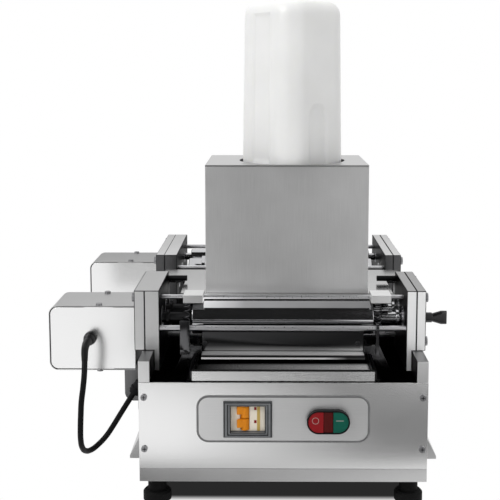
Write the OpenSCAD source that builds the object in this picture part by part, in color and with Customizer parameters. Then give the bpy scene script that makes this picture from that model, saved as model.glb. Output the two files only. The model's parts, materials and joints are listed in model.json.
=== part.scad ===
// Bench-top roller sheet machine: cabinet base, two motor-driven roller stands,
// a deck with a jug-fed hopper, and a crumb tray. Millimetres, +Z up.
// Positions are written from the base centre in X, its front face in Y and the floor in Z.

/* [Base] */
// Width of the cabinet base
base_w = 380; // [350:1:420]
// Depth of the cabinet base
base_d = 510; // [490:1:560]
// Height of a rubber foot
foot_h = 36; // [30:0.5:42]
// Diameter of a foot's disc
foot_d = 38; // [32:0.5:42]
// Height of a foot's disc
foot_disc_h = 14; // [12:0.5:18]
// Diameter of a foot's stem
foot_stem_d = 25; // [22:0.5:28]
// Foot centre from the side of the base
foot_in_x = 20; // [20:0.5:40]
// Foot centre from the front and back of the base
foot_in_y = 30; // [24:0.5:60]
// Diameter of the foot bolts
foot_bolt_d = 8; // [6:0.5:10]
// Height of the base pan's wall
pan_h = 18; // [14:0.5:24]
// Height of the cabinet shell above the pan
shell_h = 117; // [110:1:130]
// Thickness of the cabinet sheet
sheet_t = 1.5; // [1:0.1:2]
// Thickness of the cabinet's top plate
top_t = 3; // [2:0.5:5]
// Width of the shell's front return flanges
return_w = 16; // [14:0.5:20]
// Reach of a side vent hood
hood_reach = 16; // [12:0.5:20]
// Height of a side vent hood
hood_h = 36; // [28:1:44]
// Length of a side vent hood
hood_len = 160; // [120:1:200]

/* [Controls] */
// Width of the raised control plate
control_w = 228; // [210:1:250]
// Height of the raised control plate
control_h = 64; // [60:0.5:70]
// Corner radius of the control plate
control_r = 16; // [10:0.5:20]
// Thickness of the control plate
control_t = 1.2; // [1:0.1:2]
// Control plate's centre above the middle of the shell
control_rise = 9.5; // [6:0.5:14]
// Breaker centre from the middle of the panel
breaker_x = 46.5; // [42:0.5:52]
// Length of the breaker's nose
nose_l = 45; // [43:0.5:47]
// Width of one breaker pole
pole_w = 17.5; // [16:0.5:19]
// Width of the bezel's rim at its sides
rim_x = 9; // [7:0.5:11]
// Width of the bezel's rim at top and bottom
rim_z = 6.5; // [5:0.5:8]
// Button centre from the middle of the panel
button_x = 59; // [55:0.5:64]
// Button centre below the control plate's centre
button_drop = 1.5; // [0:0.5:4]
// Width of the double button
button_w = 56; // [52:0.5:60]
// Height of the double button
button_h = 31; // [28:0.5:33]
// Travel of a push button
button_travel = 4; // [3:0.1:4.2]
// Diameter of the panel and cover screws
screw_d = 4; // [3:0.5:5]

/* [Stands] */
// Width of a side rail
rail_w = 15; // [13:0.5:18]
// Height of a side rail
rail_h = 28.5; // [24:0.5:32]
// Thickness of a side plate's tongue beside its rail
tongue_t = 8; // [7:0.5:10]
// Thickness of the left inner plates
left_in_t = 20; // [19.5:0.5:24]
// Thickness of the left outer plates
left_out_t = 14; // [12:0.5:18]
// Thickness of the right inner plates
right_in_t = 13.5; // [12:0.5:18]
// Thickness of the right outer plates
right_out_t = 12.5; // [10:0.5:16]
// Front stand from the front of the base
front_y = 50; // [46:0.5:60]
// Depth of the front stand
front_d = 131; // [126:1:150]
// Rear stand from the back of the base
rear_in = 2; // [1:0.5:10]
// Depth of the rear stand
rear_d = 199; // [190:1:220]
// Stand top above the deck
stand_rise = 15; // [12:0.5:20]
// Diameter of the stand bolts
bolt_d = 6; // [5:0.5:8]

/* [Rollers] */
// Diameter of the main rollers
roller_d = 46; // [42:0.5:48]
// Length of the front rollers
roller_l = 250; // [230:1:260]
// Gap between the rear roller barrels and the stand
rear_end_gap = 12; // [10:0.5:20]
// Gap between a pair of rollers
nip = 2; // [1:0.1:3]
// Roller axis above the rails
axis_h = 36.5; // [35:0.5:44]
// Front drive roller's axis behind the front of its stand
front_axis_in = 40; // [38:0.5:44]
// Rear drive roller's axis behind the front of its stand
rear_axis_in = 91; // [86:0.5:96]
// Diameter of the roller journals
journal_d = 14.9; // [13:0.1:16]
// Outer diameter of the bearings
bearing_d = 32; // [28:0.5:34]
// Width of the bearings
bearing_w = 9; // [8:0.5:9.5]
// Teeth on a roller gear
gear_teeth = 24; // [20:2:28]
// Width of a roller gear
gear_w = 8; // [6:0.5:8.5]
// Diameter of the rear guide discs
disc_d = 54; // [50:0.5:58]
// Diameter of the idler roller
idler_d = 26; // [22:0.5:28]
// Idler axis above the rails
idler_h = 52.5; // [48:0.5:56]
// Idler axis before the back of its stand
idler_in = 53; // [48:0.5:58]
// Diameter of the thick tie rods
rod_d = 7.5; // [6:0.5:9]
// Diameter of the deck rod
deck_rod_d = 6; // [5:0.5:6.5]
// Length of the hand knob
knob_l = 35; // [30:0.5:40]
// Height of the knob's flared end
knob_h = 19; // [16:0.5:24]

/* [Motors] */
// Reach of a motor cover from its stand
cover_w = 117; // [112:1:130]
// Depth of a motor cover
cover_d = 85; // [84:0.5:95]
// Height of a motor cover
cover_h = 89.5; // [88:0.5:98]
// Radius of a cover's outer corners
cover_r = 12; // [8:0.5:18]
// Thickness of the cover sheet
cover_t = 1.2; // [1:0.1:2]
// Gap and recess round a cover's end plates
cover_seam = 0.8; // [0.4:0.1:1.2]
// Cover centre behind the roller axis
cover_back = 7.5; // [5:0.5:10]
// Cover centre below the roller axis
cover_drop = 21; // [18:0.5:23]
// Length of a gearhead
gearhead_l = 40; // [34:1:44]
// Width of a gearhead
gearhead_w = 78; // [74:0.5:80]
// Diameter of a motor
motor_d = 70; // [60:0.5:76]
// Length of a motor
motor_l = 66; // [55:1:70]
// Cable gland's distance from the stand
gland_out = 61; // [55:0.5:66]
// Diameter of the motor cable
cable_d = 7.5; // [7.5:0.5:8]

/* [Deck, hopper and jug] */
// Gap between roller tops and the deck's underside
deck_gap = 5; // [4:0.5:8]
// Thickness of the deck plate
deck_t = 3; // [2.5:0.5:4]
// Half the width of the deck between the front plates
deck_half = 149; // [145:0.5:152]
// Deck before the hopper's front
deck_nose = 1; // [0.5:0.5:4]
// Deck behind the hopper's back
deck_tail = 1.5; // [1:0.5:20]
// Block front before the drive roller's axis
block_fore = 22; // [18:0.5:26]
// Gap between the roller tops and the blocks
block_gap = 1.5; // [1:0.1:2.5]
// Height of a block
block_h = 11; // [9:0.5:13]
// Hopper centre to the right of the base centre
hopper_x = 6; // [0:0.5:8]
// Width of the hopper
hopper_w = 227; // [216:1:232]
// Height of the hopper
hopper_h = 177.5; // [165:0.5:190]
// Hopper front behind the drive roller's axis
hopper_aft = 14; // [10:0.5:16]
// Top of the hopper's funnel above the deck
funnel_rise = 62; // [50:1:66]
// Thickness of the hopper sheet
hopper_t = 1.5; // [1:0.1:2]
// Thickness of the hopper lid
lid_t = 2.5; // [2:0.1:4]
// Lid material left beside the jug hole
lid_margin = 4; // [3.5:0.5:14]
// Side of the square jug
jug_side = 119.5; // [112:0.5:126]
// Corner radius of the jug
jug_r = 30; // [24:0.5:36]
// Jug height above the lid
jug_h = 227; // [205:1:245]
// Turn of the jug about its own axis
jug_turn = 40; // [0:1:90]
// Jug centre to the right of the hopper centre
jug_x = 8.5; // [0:0.5:12]
// Wall of the jug
jug_wall = 2; // [1.5:0.1:3]
// Diameter of the jug's neck
neck_d = 60; // [54:0.5:64]

/* [Scraper and tray] */
// Spring centre outside the end of the roller
spring_out = 6.5; // [6:0.1:7]
// Outer diameter of a spring
spring_d = 9.5; // [8:0.1:10]
// Wire of a spring
wire_d = 1.6; // [1.2:0.1:2]
// Turns of a spring
spring_turns = 5; // [4:1:6]
// Scraper rod behind the front of its stand
scraper_in = 5; // [4:0.5:7]
// Scraper rod below the roller axis
scraper_drop = 6.5; // [5:0.5:9]
// Half the width of the scraper plate
scraper_half = 110; // [104:0.5:114]
// Reach of the scraper's front flange
scraper_toe = 30; // [24:0.5:34]
// Height of the flange's turned-down lip
scraper_lip = 4; // [3:0.5:6]
// Thickness of the scraper plate
scraper_t = 2; // [1.5:0.1:3]
// Width of the crumb tray
tray_w = 241; // [225:1:244]
// Depth of the crumb tray
tray_d = 155; // [140:1:160]
// Height of the tray's front lip
tray_h = 14; // [10:0.5:16]
// Width of a tray guide
guide_w = 6.5; // [5:0.5:8]

/* [Hidden] */
$fn = 48;
eps = 0.01;
// Clearances: seated pieces, running shafts, sliding pieces, open holes
seat = 0.05;
run = 0.05;
slide = 0.3;
hole = 0.4;

// Levels
pan_z = foot_h + pan_h;
top_z = pan_z + shell_h;
rail_z = top_z + rail_h;
axis_z = rail_z + axis_h;
roller_top = axis_z + roller_d / 2;
deck_z = roller_top + deck_gap + deck_t;
stand_z = deck_z + stand_rise;
hopper_z = deck_z + hopper_h;
lid_z = hopper_z + lid_t;

// Side levels of the stands, from the middle outwards
rail_x = base_w / 2 - rail_w;
inner_x = rail_x - tongue_t;
left_mid = inner_x + left_in_t;
left_x = left_mid + left_out_t;
right_mid = inner_x + right_in_t;
right_x = right_mid + right_out_t;

// Stands and their axes
rear_y = base_d - rear_in - rear_d;
front_axis = front_y + front_axis_in;
pair = roller_d + nip;
front_counter = front_axis + pair;
rear_axis = rear_y + rear_axis_in;
rear_counter = rear_axis - pair;
idler_y = rear_y + rear_d - idler_in;
idler_z = rail_z + idler_h;
idler_journal = 12;
rear_roller_l = 2 * (inner_x - rear_end_gap);
collar_d = 22;
collar_w = 4;
collar_in = 8;
disc_w = 6;
shaft_hole = journal_d + 2;
knob_shaft = 8;

// Gears
gear_m = pair / gear_teeth;
gear_pocket = bearing_w + 0;
gear_gap = 0.5;

// Stand bolts, from the plate's corners
bolt_in = 11;
bolt_depth = 10;

// Rods, each [y, z, diameter]
rod_seat = 8;
deck_rod_y = front_axis - 5;
deck_rod_z = roller_top + block_gap + block_h / 2;
scraper_y = front_y + scraper_in;
scraper_z = axis_z - scraper_drop;
front_rods = [
    [deck_rod_y, deck_rod_z, deck_rod_d],
    [scraper_y, scraper_z, rod_d],
    [front_y + front_d - 13, rail_z - 9, rod_d]
];
rear_rods = [
    [rear_y + 16, deck_z - 9, rod_d],
    [rear_y + rear_d - 22, deck_z - 3, rod_d]
];

// Controls
control_z = pan_z + shell_h / 2 + control_rise;
breaker_h = 2 * pole_w;
open_w = nose_l + 1;
open_h = breaker_h + 1;
bezel_w = open_w + 2 * rim_x;
bezel_h = open_h + 2 * rim_z;
bezel_out = 4.5;
sleeve_t = 1.2;
nose_y = 3;
body_y = 16;
din_y = 62;
toggle_x = -breaker_x - 4;
toggle_y = 5;
toggle_r = 6;
toggle_lean = 50;
button_z = control_z - button_drop;
bezel_y = -8;
cap_y = -9.5;
cap_t = 3.5;
pocket_y = -1.7;
button_rim = 1.5;
neck_hole_d = 22;
neck_end = 14;
stem_x = 8.5;
stem_d = 4;
lens_w = 12.4;
panel_screw_in = 7;
panel_screw_z = [pan_z + 27, top_z - 20];

// Motors
cover_x = left_x + cover_w;
front_cover_y = front_axis + cover_back - cover_d / 2;
rear_cover_y = rear_axis + cover_back - cover_d / 2;
cover_z = axis_z - cover_drop - cover_h / 2;
lip_w = 12;
cover_screw_x = left_x + cover_w * 0.42;
gland_x = left_x + gland_out;
gland_z = axis_z - 21;
gland_l = 18;
bracket_margin = 5;
bracket_clear = 2;
bracket_t = 4;
bracket_w = 29;
bracket_h = 50;
bracket_y = 20;
bracket_d = 30;

// Cable glands on the base
base_gland_y = 45;
base_gland_z = top_z - 14;
gland_lean = 58;
boot_t = 5;
boot_w = 22;
boot_h = 52;
mains_x = 120;
mains_z = pan_z + 31;
mains_l = 22;
mains_bore = 9;
nose_root = [-base_w / 2 - boot_t + 2, base_gland_y, base_gland_z];
nose_l2 = 18;
nose_tip = nose_root + (nose_l2 + slide) * [-cos(gland_lean), 0, -sin(gland_lean)];

// Route of the motor cable, from the gland in its cover to the nose on the base.
// Its two ends follow the pieces that hold them, and the bends between are eased along.
cable_drawn = [
    [-262, 37, 215], [-262, 25, 215], [-261, 10, 211], [-259, -3, 201], [-258, -12, 187],
    [-259, -17, 170], [-261, -20, 152], [-262, -21, 134], [-263, -20, 116], [-264, -15, 99],
    [-264, -6, 85], [-262, 7, 75], [-257, 21, 71], [-250, 35, 73], [-241, 44, 81],
    [-232, 46, 94], [-222.5, 46, 109.5], [-213, 45, 125], [-202.5, 45, 141.7]
];
cable_last = len(cable_drawn) - 1;
cable_start = [-gland_x, front_cover_y + cover_seam - gland_l, gland_z];
function ease(t) = t * t * (3 - 2 * t);
cable_route = [for (i = [0 : cable_last])
    cable_drawn[i] + (1 - ease(i / cable_last)) * (cable_start - cable_drawn[0])
        + ease(i / cable_last) * (nose_tip - cable_drawn[cable_last])];
cable_sides = 10;

// Deck, blocks and scraper
hopper_y = front_axis + hopper_aft;
deck_y = hopper_y - deck_nose;
deck_wide_y = front_y + front_d + 3;
deck_wide = rail_x + 6;
nip_y = front_axis + pair / 2;
slot_d = 14;
mouth_d = 10;
slot_w = 210;
block_y = front_axis - block_fore;
block_z = roller_top + block_gap;
block_top = block_z + block_h;
block_lap = [5, 17];
block_w = 27.5;
spring_x = roller_l / 2 + spring_out;
spring_y = block_y + 6;
tab_z = scraper_z - 3.5;
tab_t = 4;
arm_x = roller_l / 2 + 1;
arm_w = 13;
arm_t = [arm_w, 4];
arm_d = rod_d + 8;
scraper_top = [scraper_y + 1.5, scraper_z - 4.5];
scraper_foot = [scraper_y + 5, rail_z - 4.8];
web_h = 11;
prop_w = 16;
prop_lean = 16;
prop_in = 5;
strap_t = 3;
pin_d = 8;
pin_l = 28;
pin_rise = 3;
pin_y = front_y + front_d - 11;

// Tray
tray_y = 4;
tray_lip = 8;
tray_t = 1.5;
tray_side_h = 10;

// Hopper and jug
jug_half = jug_side / 2 * sqrt(2) - jug_r * (sqrt(2) - 1);
jug_hole = 2 * jug_half + 9;
hopper_d = jug_hole + 2 * lid_margin;
deck_back = hopper_y + hopper_d + deck_tail;
jug_y = hopper_y + hopper_d / 2;
jug_cx = hopper_x + jug_x;
jug_top = lid_z + jug_h;
cap_d = neck_d + 10;
cradle_hole = cap_d + 6;
cradle_z = lid_z - 50;
shoulder = cradle_hole + 10;
funnel_z = deck_z + funnel_rise;
neck_l = 50;
neck_wall = 3;
cap_h = 28;
valve_d = 24;

// Outer limits without the hanging cable, which place the origin under the middle of the machine
origin_x = (right_x + knob_l - cover_x) / 2;
origin_y = (base_d + mains_l + cap_y) / 2;

// Placing helpers
module placed() { translate([-origin_x, -origin_y, 0]) children(); }
module xrod(x0, x1, d, y, z) { translate([x0, y, z]) rotate([0, 90, 0]) cylinder(h = x1 - x0, d = d); }
module yrod(y0, y1, d, x, z) { translate([x, y1, z]) rotate([90, 0, 0]) cylinder(h = y1 - y0, d = d); }
module zrod(z0, z1, d, x, y) { translate([x, y, z0]) cylinder(h = z1 - z0, d = d); }
module box(x, y, z) { translate([x[0], y[0], z[0]]) cube([x[1] - x[0], y[1] - y[0], z[1] - z[0]]); }
// A flat profile in (y, z) run along X, one in (x, z) run along Y
module along_x(x0, x1) { translate([x0, 0, 0]) rotate([90, 0, 90]) linear_extrude(x1 - x0) children(); }
module along_y(y0, y1) { translate([0, y1, 0]) rotate([90, 0, 0]) linear_extrude(y1 - y0) children(); }
module sides() { children(); mirror([1, 0, 0]) children(); }

module rounded(w, h, r) {
    square([w - 2 * r, h], center = true);
    square([w, h - 2 * r], center = true);
    for (x = [-1, 1], y = [-1, 1]) translate([x * (w / 2 - r), y * (h / 2 - r)]) circle(r);
}
module stadium(w, h) {
    square([w - h, h], center = true);
    for (x = [-1, 1]) translate([x * (w - h) / 2, 0]) circle(d = h);
}

// Base cabinet
module foot_points() {
    for (x = [-1, 1], y = [foot_in_y, base_d - foot_in_y])
        translate([x * (base_w / 2 - foot_in_x), y, 0]) children();
}
foot_seat = 8;
foot_head_d = 14;
foot_nut_h = 6.5;
foot_head_h = 5.5;
module rubber_feet() {
    chamfer = 3;
    color("black") foot_points() difference() {
        union() {
            cylinder(h = foot_disc_h - chamfer, d = foot_d);
            translate([0, 0, foot_disc_h - chamfer])
                cylinder(h = chamfer, d1 = foot_d, d2 = foot_d - 2 * chamfer);
            cylinder(h = foot_h, d = foot_stem_d);
        }
        translate([0, 0, -eps]) cylinder(h = foot_seat + eps, d = foot_head_d + 2);
        cylinder(h = foot_h + 1, d = foot_bolt_d + hole);
    }
}
module foot_bolts() {
    color("silver") foot_points() {
        translate([0, 0, foot_seat - foot_head_h]) cylinder(h = foot_head_h, d = foot_head_d, $fn = 6);
        translate([0, 0, foot_seat - 1])
            cylinder(h = foot_h + sheet_t + foot_nut_h - foot_seat + 3, d = foot_bolt_d);
        translate([0, 0, foot_h + sheet_t]) cylinder(h = foot_nut_h, d = foot_head_d, $fn = 6);
    }
}
module base_pan() {
    vents = 6;
    vent_l = 90;
    vent_w = 6;
    vent_step = 18;
    color("gainsboro") difference() {
        box([-base_w / 2, base_w / 2], [0, base_d], [foot_h, pan_z]);
        box([-base_w / 2 + sheet_t, base_w / 2 - sheet_t], [sheet_t, base_d - sheet_t],
            [foot_h + sheet_t, pan_z + 1]);
        foot_points() translate([0, 0, foot_h - 1]) cylinder(h = sheet_t + 2, d = foot_bolt_d + hole);
        for (i = [0 : vents - 1])
            translate([0, base_d / 2 + (i - (vents - 1) / 2) * vent_step, foot_h - 1])
                linear_extrude(sheet_t + 2) stadium(vent_l, vent_w);
    }
}
module panel_screw_points() {
    for (x = [-1, 1], z = panel_screw_z) translate([x * (base_w / 2 - panel_screw_in), 0, z]) children();
}
louvres = 7;
louvre_step = 20;
louvre_w = 12;
louvre_h = 14;
hood_y = 24;
hood_z = pan_z + 4;
module base_shell() {
    color("silver") difference() {
        translate([0, 0, pan_z]) linear_extrude(shell_h - top_t) difference() {
            translate([-base_w / 2, sheet_t]) square([base_w, base_d - sheet_t]);
            translate([-base_w / 2 + sheet_t, 2 * sheet_t])
                square([base_w - 2 * sheet_t, base_d - 3 * sheet_t]);
            translate([-base_w / 2 + return_w, 0]) square([base_w - 2 * return_w, 3 * sheet_t]);
        }
        panel_screw_points() yrod(0, 4 * sheet_t, screw_d + hole, 0, 0);
        for (i = [0 : louvres - 1])
            box([-base_w, base_w], [hood_y + 14 + i * louvre_step, hood_y + 14 + i * louvre_step + louvre_w],
                [hood_z + 8, hood_z + 8 + louvre_h]);
        xrod(-base_w / 2 - 1, -base_w / 2 + 3, 10 + hole, base_gland_y, base_gland_z);
        yrod(base_d - 3, base_d + 1, 14 + hole, mains_x, mains_z);
    }
}
module base_top() {
    color("silver") box([-base_w / 2, base_w / 2], [sheet_t, base_d], [top_z - top_t, top_z]);
}
module panel_cuts() {
    translate([-breaker_x, 0, control_z]) along_y(-10, 10)
        square([open_w + 2 * sleeve_t + 2 * slide, open_h + 2 * sleeve_t + 2 * slide], center = true);
    yrod(-10, 10, neck_hole_d + hole, button_x, button_z);
}
module front_panel() {
    color("silver") difference() {
        box([-base_w / 2, base_w / 2], [0, sheet_t], [pan_z, top_z]);
        panel_cuts();
        panel_screw_points() yrod(-1, sheet_t + 1, screw_d + hole, 0, 0);
    }
}
module control_plate() {
    step = 2.5;
    color("gainsboro") difference() {
        translate([0, 0, control_z]) {
            along_y(-control_t / 2, 0) rounded(control_w, control_h, control_r);
            along_y(-control_t, 0) rounded(control_w - 2 * step, control_h - 2 * step, control_r - step);
        }
        panel_cuts();
    }
}
// A pan-head screw that points down from the surface it holds
module pan_screw(d, l) {
    cylinder(h = d * 0.6, d = d * 2.1);
    translate([0, 0, -l]) cylinder(h = l + eps, d = d);
}
module cover_screw_points(y) {
    for (s = [0, 1], e = [lip_w / 2, cover_d - lip_w / 2])
        translate([-cover_screw_x, y + e, cover_z + s * cover_h]) rotate([s == 0 ? 180 : 0, 0, 0]) children();
}
module bolt_points(y0, d) {
    for (y = [y0 + bolt_in, y0 + d - bolt_in], z = [rail_z + bolt_in, stand_z - bolt_in])
        translate([0, y, z]) children();
}
// On the left the gearhead takes the low front corner
module left_bolt_points(y0, d) {
    for (p = [[bolt_in, stand_z], [d - bolt_in, stand_z], [d - bolt_in, rail_z + 2 * bolt_in]])
        translate([0, y0 + p[0], p[1] - bolt_in]) children();
}
module stand_bolts(y0, d) {
    left_bolt_points(y0, d) translate([-left_x, 0, 0]) rotate([0, -90, 0])
        pan_screw(bolt_d, left_out_t + bolt_depth / 2);
    bolt_points(y0, d) translate([right_x, 0, 0]) rotate([0, 90, 0])
        pan_screw(bolt_d, right_out_t + bolt_depth / 2);
}
module screws() {
    color("gray") {
        panel_screw_points() rotate([90, 0, 0]) pan_screw(screw_d, 7);
        for (y = [front_cover_y, rear_cover_y]) cover_screw_points(y) pan_screw(screw_d, 6);
        stand_bolts(front_y, front_d);
        stand_bolts(rear_y, rear_d);
    }
}
module vent_hoods() {
    t = 1.2;
    drop = 4;
    x = base_w / 2;
    color("silver") sides() difference() {
        along_y(hood_y, hood_y + hood_len)
            polygon([[x, hood_z], [x + hood_reach, hood_z], [x + hood_reach, hood_z + drop],
                [x, hood_z + hood_h]]);
        along_y(hood_y + t, hood_y + hood_len - t)
            polygon([[x - 1, hood_z - 1], [x + hood_reach - t, hood_z - 1],
                [x + hood_reach - t, hood_z + drop - t / 2],
                     [x, hood_z + hood_h - 3 * t], [x - 1, hood_z + hood_h - 3 * t]]);
    }
}
module side_rails() {
    color("silver") sides() box([rail_x, rail_x + rail_w], [0, base_d], [top_z, rail_z]);
}

// Controls
module breaker_bezel() {
    color("dimgray") translate([-breaker_x, 0, control_z]) difference() {
        union() {
            along_y(-control_t - bezel_out / 2, -control_t) square([bezel_w, bezel_h], center = true);
            along_y(-control_t - bezel_out, -control_t) square([bezel_w - 3, bezel_h - 3], center = true);
            along_y(-control_t - 1, nose_y + 6)
                square([open_w + 2 * sleeve_t, open_h + 2 * sleeve_t], center = true);
        }
        along_y(-20, 20) square([open_w, open_h], center = true);
        along_y(-20, -control_t - bezel_out + 1.5) square([open_w + 7, open_h + 5], center = true);
    }
}
module breaker_body() {
    l = 80;
    color("ivory") translate([-breaker_x, 0, control_z]) difference() {
        union() {
            along_y(nose_y, body_y + 1) square([nose_l, breaker_h], center = true);
            along_y(body_y, din_y) square([l, breaker_h], center = true);
        }
        translate([toggle_x + breaker_x, toggle_y, 0])
            cylinder(h = breaker_h - 4, r = toggle_r + slide, center = true);
    }
}
module breaker_toggle() {
    tab_w = 10;
    tab_l = 12;
    tab_t2 = 4;
    color("orange") translate([toggle_x, toggle_y, control_z]) {
        cylinder(h = breaker_h - 5, r = toggle_r, center = true);
        rotate([0, 0, -toggle_lean])
            for (s = [-1, 1]) translate([-tab_t2 / 2, -tab_l, s * pole_w / 2.6 - tab_w / 2])
                cube([tab_t2, tab_l, tab_w]);
    }
}
module din_rail() {
    flange = 17.5;
    crown = 13.5;
    deep = 7.5;
    t = 1;
    foot = 24;
    z0 = foot_h + sheet_t;
    color("lightgray") translate([-breaker_x, 0, 0]) {
        translate([0, 0, z0]) linear_extrude(control_z + breaker_h / 2 + 10 - z0) {
            translate([-flange, din_y]) square([flange - crown + t, t]);
            translate([crown - t, din_y]) square([flange - crown + t, t]);
            for (s = [-crown, crown - t]) translate([s, din_y]) square([t, deep]);
            translate([-crown, din_y + deep - t]) square([2 * crown, t]);
        }
        box([-flange, flange], [din_y + deep - t, din_y + deep + foot], [z0, z0 + sheet_t]);
    }
}
module button_housing() {
    color("black") translate([button_x, 0, button_z]) difference() {
        union() {
            along_y(bezel_y, -control_t) stadium(button_w, button_h);
            yrod(-control_t - 1, neck_end, neck_hole_d, 0, 0);
            translate([0, sheet_t + 4, 0]) rotate([90, 0, 0]) cylinder(h = 4, d = neck_hole_d + 8, $fn = 6);
        }
        along_y(bezel_y - 1, pocket_y) stadium(button_w - 2 * button_rim, button_h - 2 * button_rim);
        for (s = [-1, 1]) yrod(-5, neck_end + 1, stem_d + 2 * slide, s * stem_x, 0);
    }
}
// One push cap: the end of the inner stadium on side s, with its stem
module push_cap(s) {
    w = button_w - 2 * button_rim;
    h = button_h - 2 * button_rim;
    inner = lens_w / 2 + slide;
    translate([button_x, 0, button_z]) {
        along_y(cap_y, cap_y + cap_t) intersection() {
            stadium(w - 2 * slide, h - 2 * slide);
            translate([s > 0 ? inner : -w, -h]) square([w - inner, 2 * h]);
        }
        yrod(cap_y + cap_t - 1, neck_end - button_travel - slide, stem_d, s * stem_x, 0);
    }
}
module stop_button() { color("firebrick") push_cap(-1); }
module start_button() { color("seagreen") push_cap(1); }
module pilot_lens() {
    color("darkred") translate([button_x, 0, button_z]) along_y(cap_y + 0.5, pocket_y)
        square([lens_w - 0.2, button_h - 2 * button_rim - 2 * slide], center = true);
}
module contact_block() {
    w = 30;
    h = 42;
    l = 44;
    color("dimgray") translate([button_x, neck_end, button_z]) {
        along_y(0, l) square([w, h], center = true);
        for (s = [-1, 1]) along_y(l - 12, l - 2) translate([s * 8, 0]) square([9, h + 6], center = true);
    }
}
module base_gland() {
    x = -base_w / 2;
    spigot_d = 10;
    color("black") {
        difference() {
            union() {
                translate([0, base_gland_y, base_gland_z - boot_h / 2 + boot_w / 2]) rotate([90, 0, 0])
                    rotate([0, -90, 0])
                    translate([0, 0, -x]) linear_extrude(boot_t) rotate(90) stadium(boot_h, boot_w);
                translate(nose_root) rotate([0, -90 - gland_lean, 0]) {
                    cylinder(h = nose_l2, d = 14);
                    translate([0, 0, nose_l2 - 9]) cylinder(h = 6, d = 17);
                }
            }
            box([x, x + boot_h], [base_gland_y - boot_w, base_gland_y + boot_w],
                [base_gland_z - 2 * boot_h, base_gland_z + boot_h]);
        }
        xrod(x - 1, x + 10, spigot_d, base_gland_y, base_gland_z);
    }
}
module gland(l, d, bore) {
    tail = 4;
    difference() {
        union() {
            cylinder(h = 6, d = d * 1.3, $fn = 6);
            cylinder(h = l * 0.7, d = d);
            translate([0, 0, l * 0.7]) cylinder(h = l * 0.3, d1 = d, d2 = d * 0.75);
            translate([0, 0, -tail]) cylinder(h = tail + 1, d = d - 1);
        }
        if (bore > 0) translate([0, 0, -tail - 1]) cylinder(h = l + tail + 2, d = bore);
    }
}
module rear_glands() {
    color("black") {
        translate([mains_x, base_d, mains_z]) rotate([-90, 0, 0]) gland(mains_l, 15, mains_bore);
        translate([-gland_x, rear_cover_y + cover_d - cover_seam, gland_z]) rotate([-90, 0, 0])
            gland(gland_l, 13, cable_d);
    }
}

// Roller stands: holes shared by the plates of one stand, given its axes
module bores(x0, x1, d, axes) { for (y = axes) xrod(x0, x1, d, y, axis_z); }
module rod_holes(x0, x1, rods) { for (r = rods) xrod(x0, x1, r[2] + 2 * seat, r[0], r[1]); }
module left_inner(y0, d, axes, rods) {
    difference() {
        union() {
            box([-left_mid, -inner_x], [y0, y0 + d], [rail_z, stand_z]);
            box([-rail_x, -inner_x], [y0, y0 + d], [top_z, rail_z + eps]);
        }
        bores(-left_mid - 1, 0, shaft_hole, axes);
        bores(-inner_x - bearing_w, 0, bearing_d + 2 * seat, axes);
        bores(-left_mid - 1, -left_mid + gear_w + 2 * gear_gap, pair + 2 * gear_m + 2, axes);
        rod_holes(-inner_x - rod_seat, 0, rods);
        left_bolt_points(y0, d) xrod(-left_mid - 1, -left_mid + bolt_depth, bolt_d + hole, 0, 0);
    }
}
module left_outer(y0, d, axis, room) {
    difference() {
        box([-left_x, -left_mid - room], [y0, y0 + d], [rail_z, stand_z]);
        xrod(-left_x - 1, -left_mid + 1, shaft_hole, axis, axis_z);
        left_bolt_points(y0, d) xrod(-left_x - 1, -left_mid + 1, bolt_d + hole, 0, 0);
    }
}
module right_inner(y0, d, axes, rods) {
    difference() {
        union() {
            box([inner_x, right_mid], [y0, y0 + d], [rail_z, stand_z]);
            box([inner_x, rail_x], [y0, y0 + d], [top_z, rail_z + eps]);
        }
        bores(0, right_mid + 1, shaft_hole, axes);
        bores(0, inner_x + bearing_w, bearing_d + 2 * seat, axes);
        rod_holes(0, inner_x + rod_seat, rods);
        bolt_points(y0, d) xrod(right_mid - bolt_depth, right_mid + 1, bolt_d + hole, 0, 0);
    }
}
module right_outer(y0, d, axis, room) {
    difference() {
        box([right_mid + room, right_x], [y0, y0 + d], [rail_z, stand_z]);
        if (axis > 0) xrod(right_mid - 1, right_x + 1, knob_shaft + 1, axis, axis_z);
        bolt_points(y0, d) xrod(right_mid - 1, right_x + 1, bolt_d + hole, 0, 0);
    }
}
front_axes = [front_axis, front_counter];
rear_axes = [rear_axis, rear_counter];
idler_seat = 20;
module idler_bores(x0, x1) { xrod(x0, x1, idler_seat + 2 * seat, idler_y, idler_z); }
module front_left_inner_plate() { color("silver") left_inner(front_y, front_d, front_axes, front_rods); }
module front_left_outer_plate() { color("silver") left_outer(front_y, front_d, front_axis, 0); }
module front_right_inner_plate() { color("silver") right_inner(front_y, front_d, front_axes, front_rods); }
module front_right_outer_plate() { color("silver") right_outer(front_y, front_d, front_axis, 0); }
module rear_left_plates() {
    color("silver") {
        difference() {
            left_inner(rear_y, rear_d, rear_axes, rear_rods);
            idler_bores(-inner_x - bearing_w, 0);
        }
        left_outer(rear_y, rear_d, rear_axis, seat);
    }
}
module rear_right_plates() {
    color("silver") {
        difference() {
            right_inner(rear_y, rear_d, rear_axes, rear_rods);
            idler_bores(0, inner_x + bearing_w);
        }
        right_outer(rear_y, rear_d, 0, seat);
    }
}

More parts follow.
